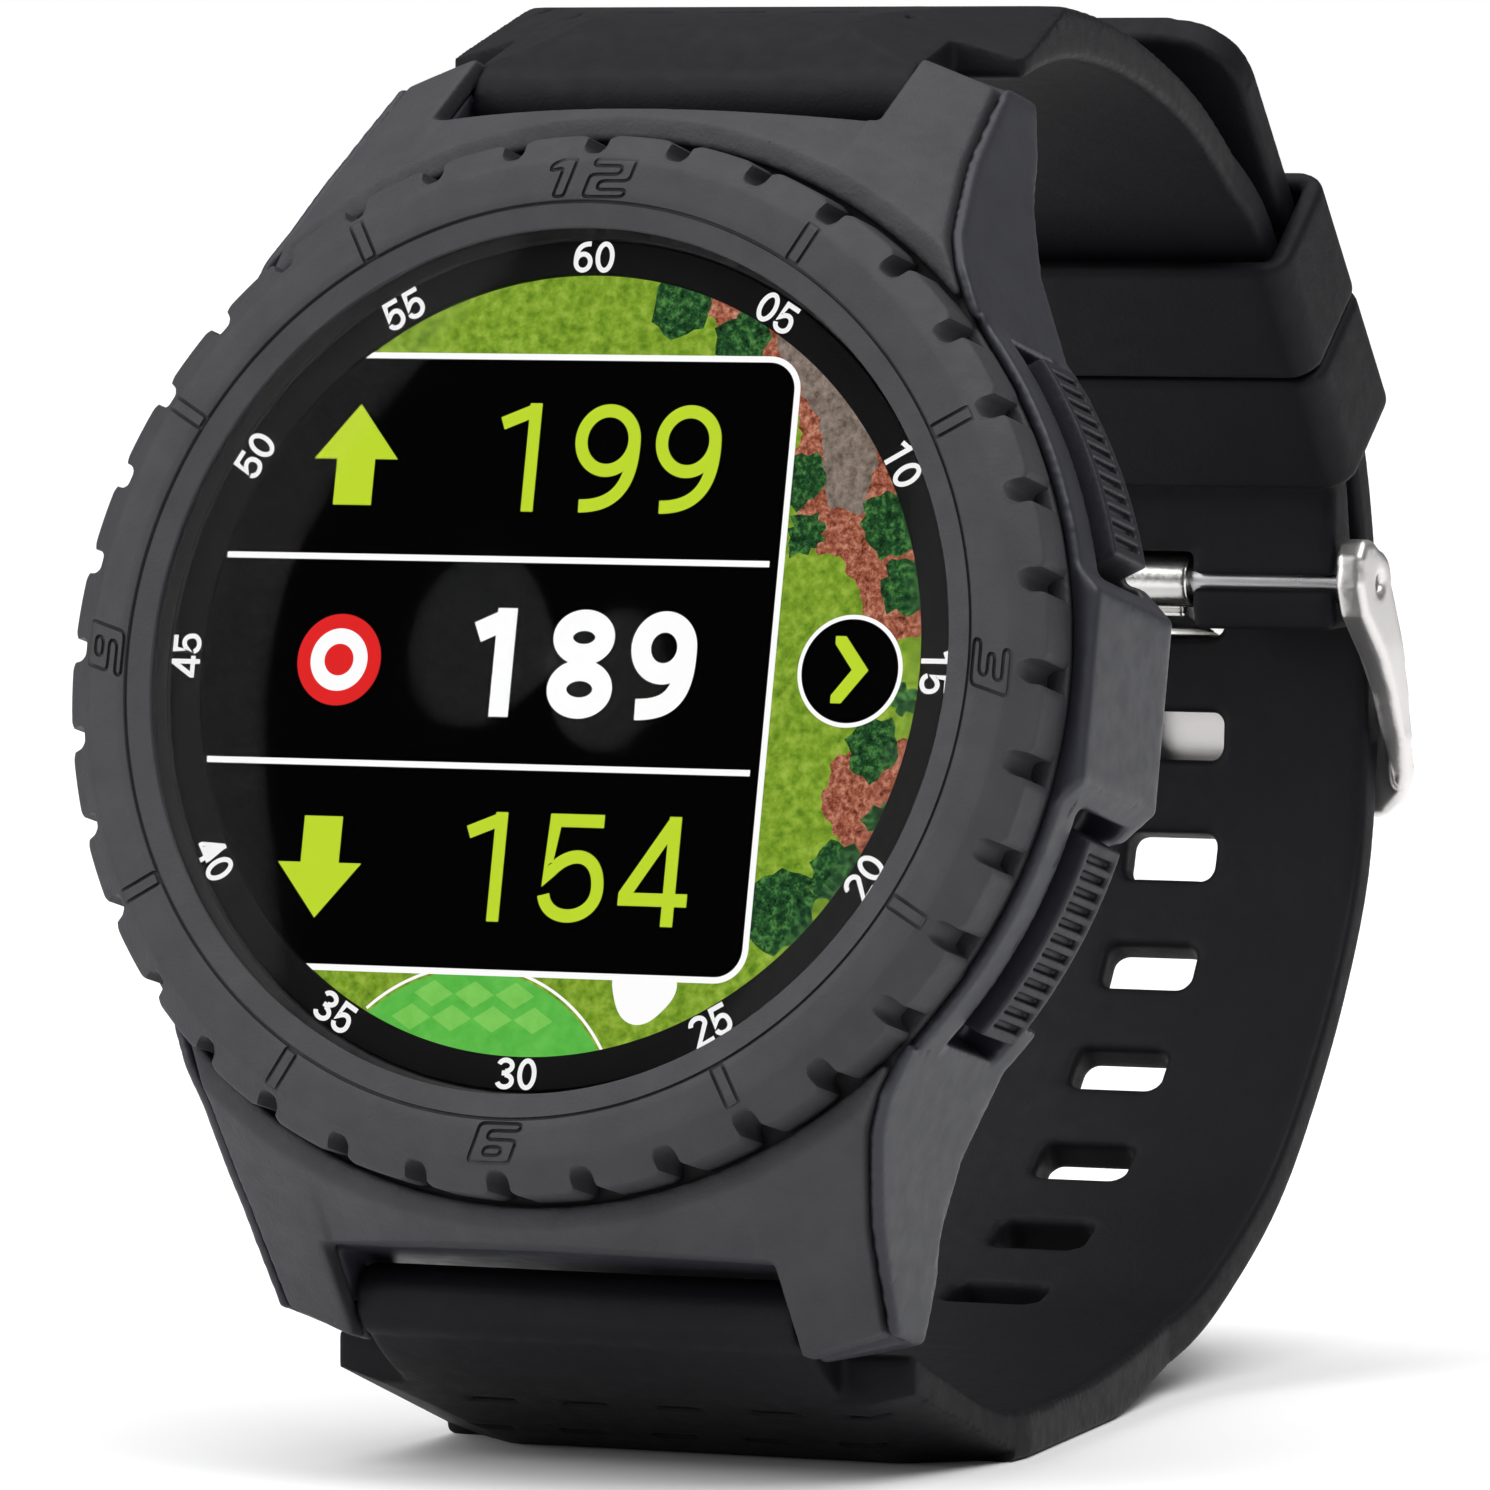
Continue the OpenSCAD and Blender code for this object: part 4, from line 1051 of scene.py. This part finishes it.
def make_next_button():
    x, r = 14.2, 2.52
    screen_piece("screen_next_ring", [circle(x, 0, r)], 4, WHITE)
    screen_piece("screen_next_disc", [circle(x, 0, r - 0.2)], 5, BLACK)
    chevron = [(-0.85, 1.55), (-0.35, 1.55), (0.85, 0.05), (-0.35, -1.45), (-0.85, -1.45),
               (-0.85, -1.1), (0.05, 0.05), (-0.85, 1.2)]
    screen_piece("screen_next_arrow", [np.array(chevron) + (x + 0.05, 0)], 6, LIME)


# ------------------------------------------------------------------ studio

# The camera's place from the middle of the display, in millimetres, and its three axes.
CAMERA_FROM_DIAL = (230.148, -479.819, 25.735)
CAMERA_RIGHT = (0.908341, 0.418231, 0.0)
CAMERA_UP = (-0.023055, 0.050008, 0.998483)
CAMERA_BACK = (0.417595, -0.906963, 0.055067)
CAMERA_SENSOR = 36.0
CAMERA_LENS = 289.93


def make_camera():
    data = bpy.data.cameras.new("camera")
    camera = bpy.data.objects.new("camera", data)
    SCENE.collection.objects.link(camera)
    data.sensor_width = CAMERA_SENSOR
    data.lens = CAMERA_LENS
    data.clip_start = 0.01
    data.clip_end = 20
    turn = Matrix((CAMERA_RIGHT, CAMERA_UP, CAMERA_BACK)).transposed().to_4x4()
    camera.matrix_world = Matrix.Translation((DIAL + CAMERA_FROM_DIAL) * MM) @ turn
    SCENE.camera = camera


def add_light(name, data, away):
    """Puts a light in the scene, shining against the direction away."""
    light = bpy.data.objects.new(name, data)
    SCENE.collection.objects.link(light)
    light.rotation_mode = "QUATERNION"
    light.rotation_quaternion = Vector(away).to_track_quat("Z", "Y")
    return light


def area_light(name, place_mm, aim_mm, side_mm, watts):
    """A square soft box at a place, turned to a point."""
    data = bpy.data.lights.new(name, "AREA")
    data.size = side_mm * MM
    data.energy = watts
    light = add_light(name, data, Vector(place_mm) - Vector(aim_mm))
    light.location = Vector(place_mm) * MM


def sun_light(name, away, strength, spread):
    """A very soft distant light."""
    data = bpy.data.lights.new(name, "SUN")
    data.energy = strength
    data.angle = spread
    add_light(name, data, away)


def make_world():
    """White behind the object, and a soft light that is stronger from above."""
    world = bpy.data.worlds.new("studio")
    world.use_nodes = True
    tree = world.node_tree
    sky = tree.nodes["Background"]
    where = add(tree, "ShaderNodeTexCoord")
    split = add(tree, "ShaderNodeSeparateXYZ")
    rise = add(tree, "ShaderNodeMapRange")
    rise.inputs["From Min"].default_value = -0.1
    rise.inputs["To Min"].default_value = 0.08
    rise.inputs["To Max"].default_value = 0.5
    seen = add(tree, "ShaderNodeLightPath")
    either = add(tree, "ShaderNodeMix", data_type="FLOAT")
    either.inputs[3].default_value = 1.0
    tree.links.new(where.outputs["Generated"], split.inputs[0])
    tree.links.new(split.outputs["Z"], rise.inputs["Value"])
    tree.links.new(rise.outputs["Result"], either.inputs[2])
    tree.links.new(seen.outputs["Is Camera Ray"], either.inputs[0])
    tree.links.new(either.outputs[0], sky.inputs["Strength"])
    sky.inputs["Color"].default_value = (1, 1, 1, 1)
    SCENE.world = world


def make_floor():
    half = 6.0
    mesh = bpy.data.meshes.new("floor")
    corners = [(-half, -half, 0), (half, -half, 0), (half, half, 0), (-half, half, 0)]
    mesh.from_pydata(corners, [], [(0, 1, 2, 3)])
    floor = bpy.data.objects.new("floor", mesh)
    SCENE.collection.objects.link(floor)
    material, tree, surface = shader("floor_white")
    tree.links.new(mixed(tree, noise(tree, 400), (0.93, 0.93, 0.93), (0.95, 0.95, 0.95)),
                   surface.inputs["Base Color"])
    surface.inputs["Roughness"].default_value = 0.9
    surface.inputs["Specular IOR Level"].default_value = 0.0
    mesh.materials.append(material)


def make_studio():
    SCENE.view_settings.view_transform = "Standard"
    make_world()
    make_floor()
    middle = (0, -20, 35)
    sun_light("sky_panel", (-0.1, -0.3, 1.0), strength=2.75, spread=1.5)
    area_light("front_left", (-650, -650, 350), middle, side_mm=500, watts=3.2)
    area_light("right", (520, -250, 780), middle, side_mm=450, watts=3.2)


dress_inner_parts()
make_case()
make_pushers()
make_straps()
make_buckle()
make_bezel()
make_glass()
make_border()
make_minutes()
make_screen()
make_camera()
make_studio()
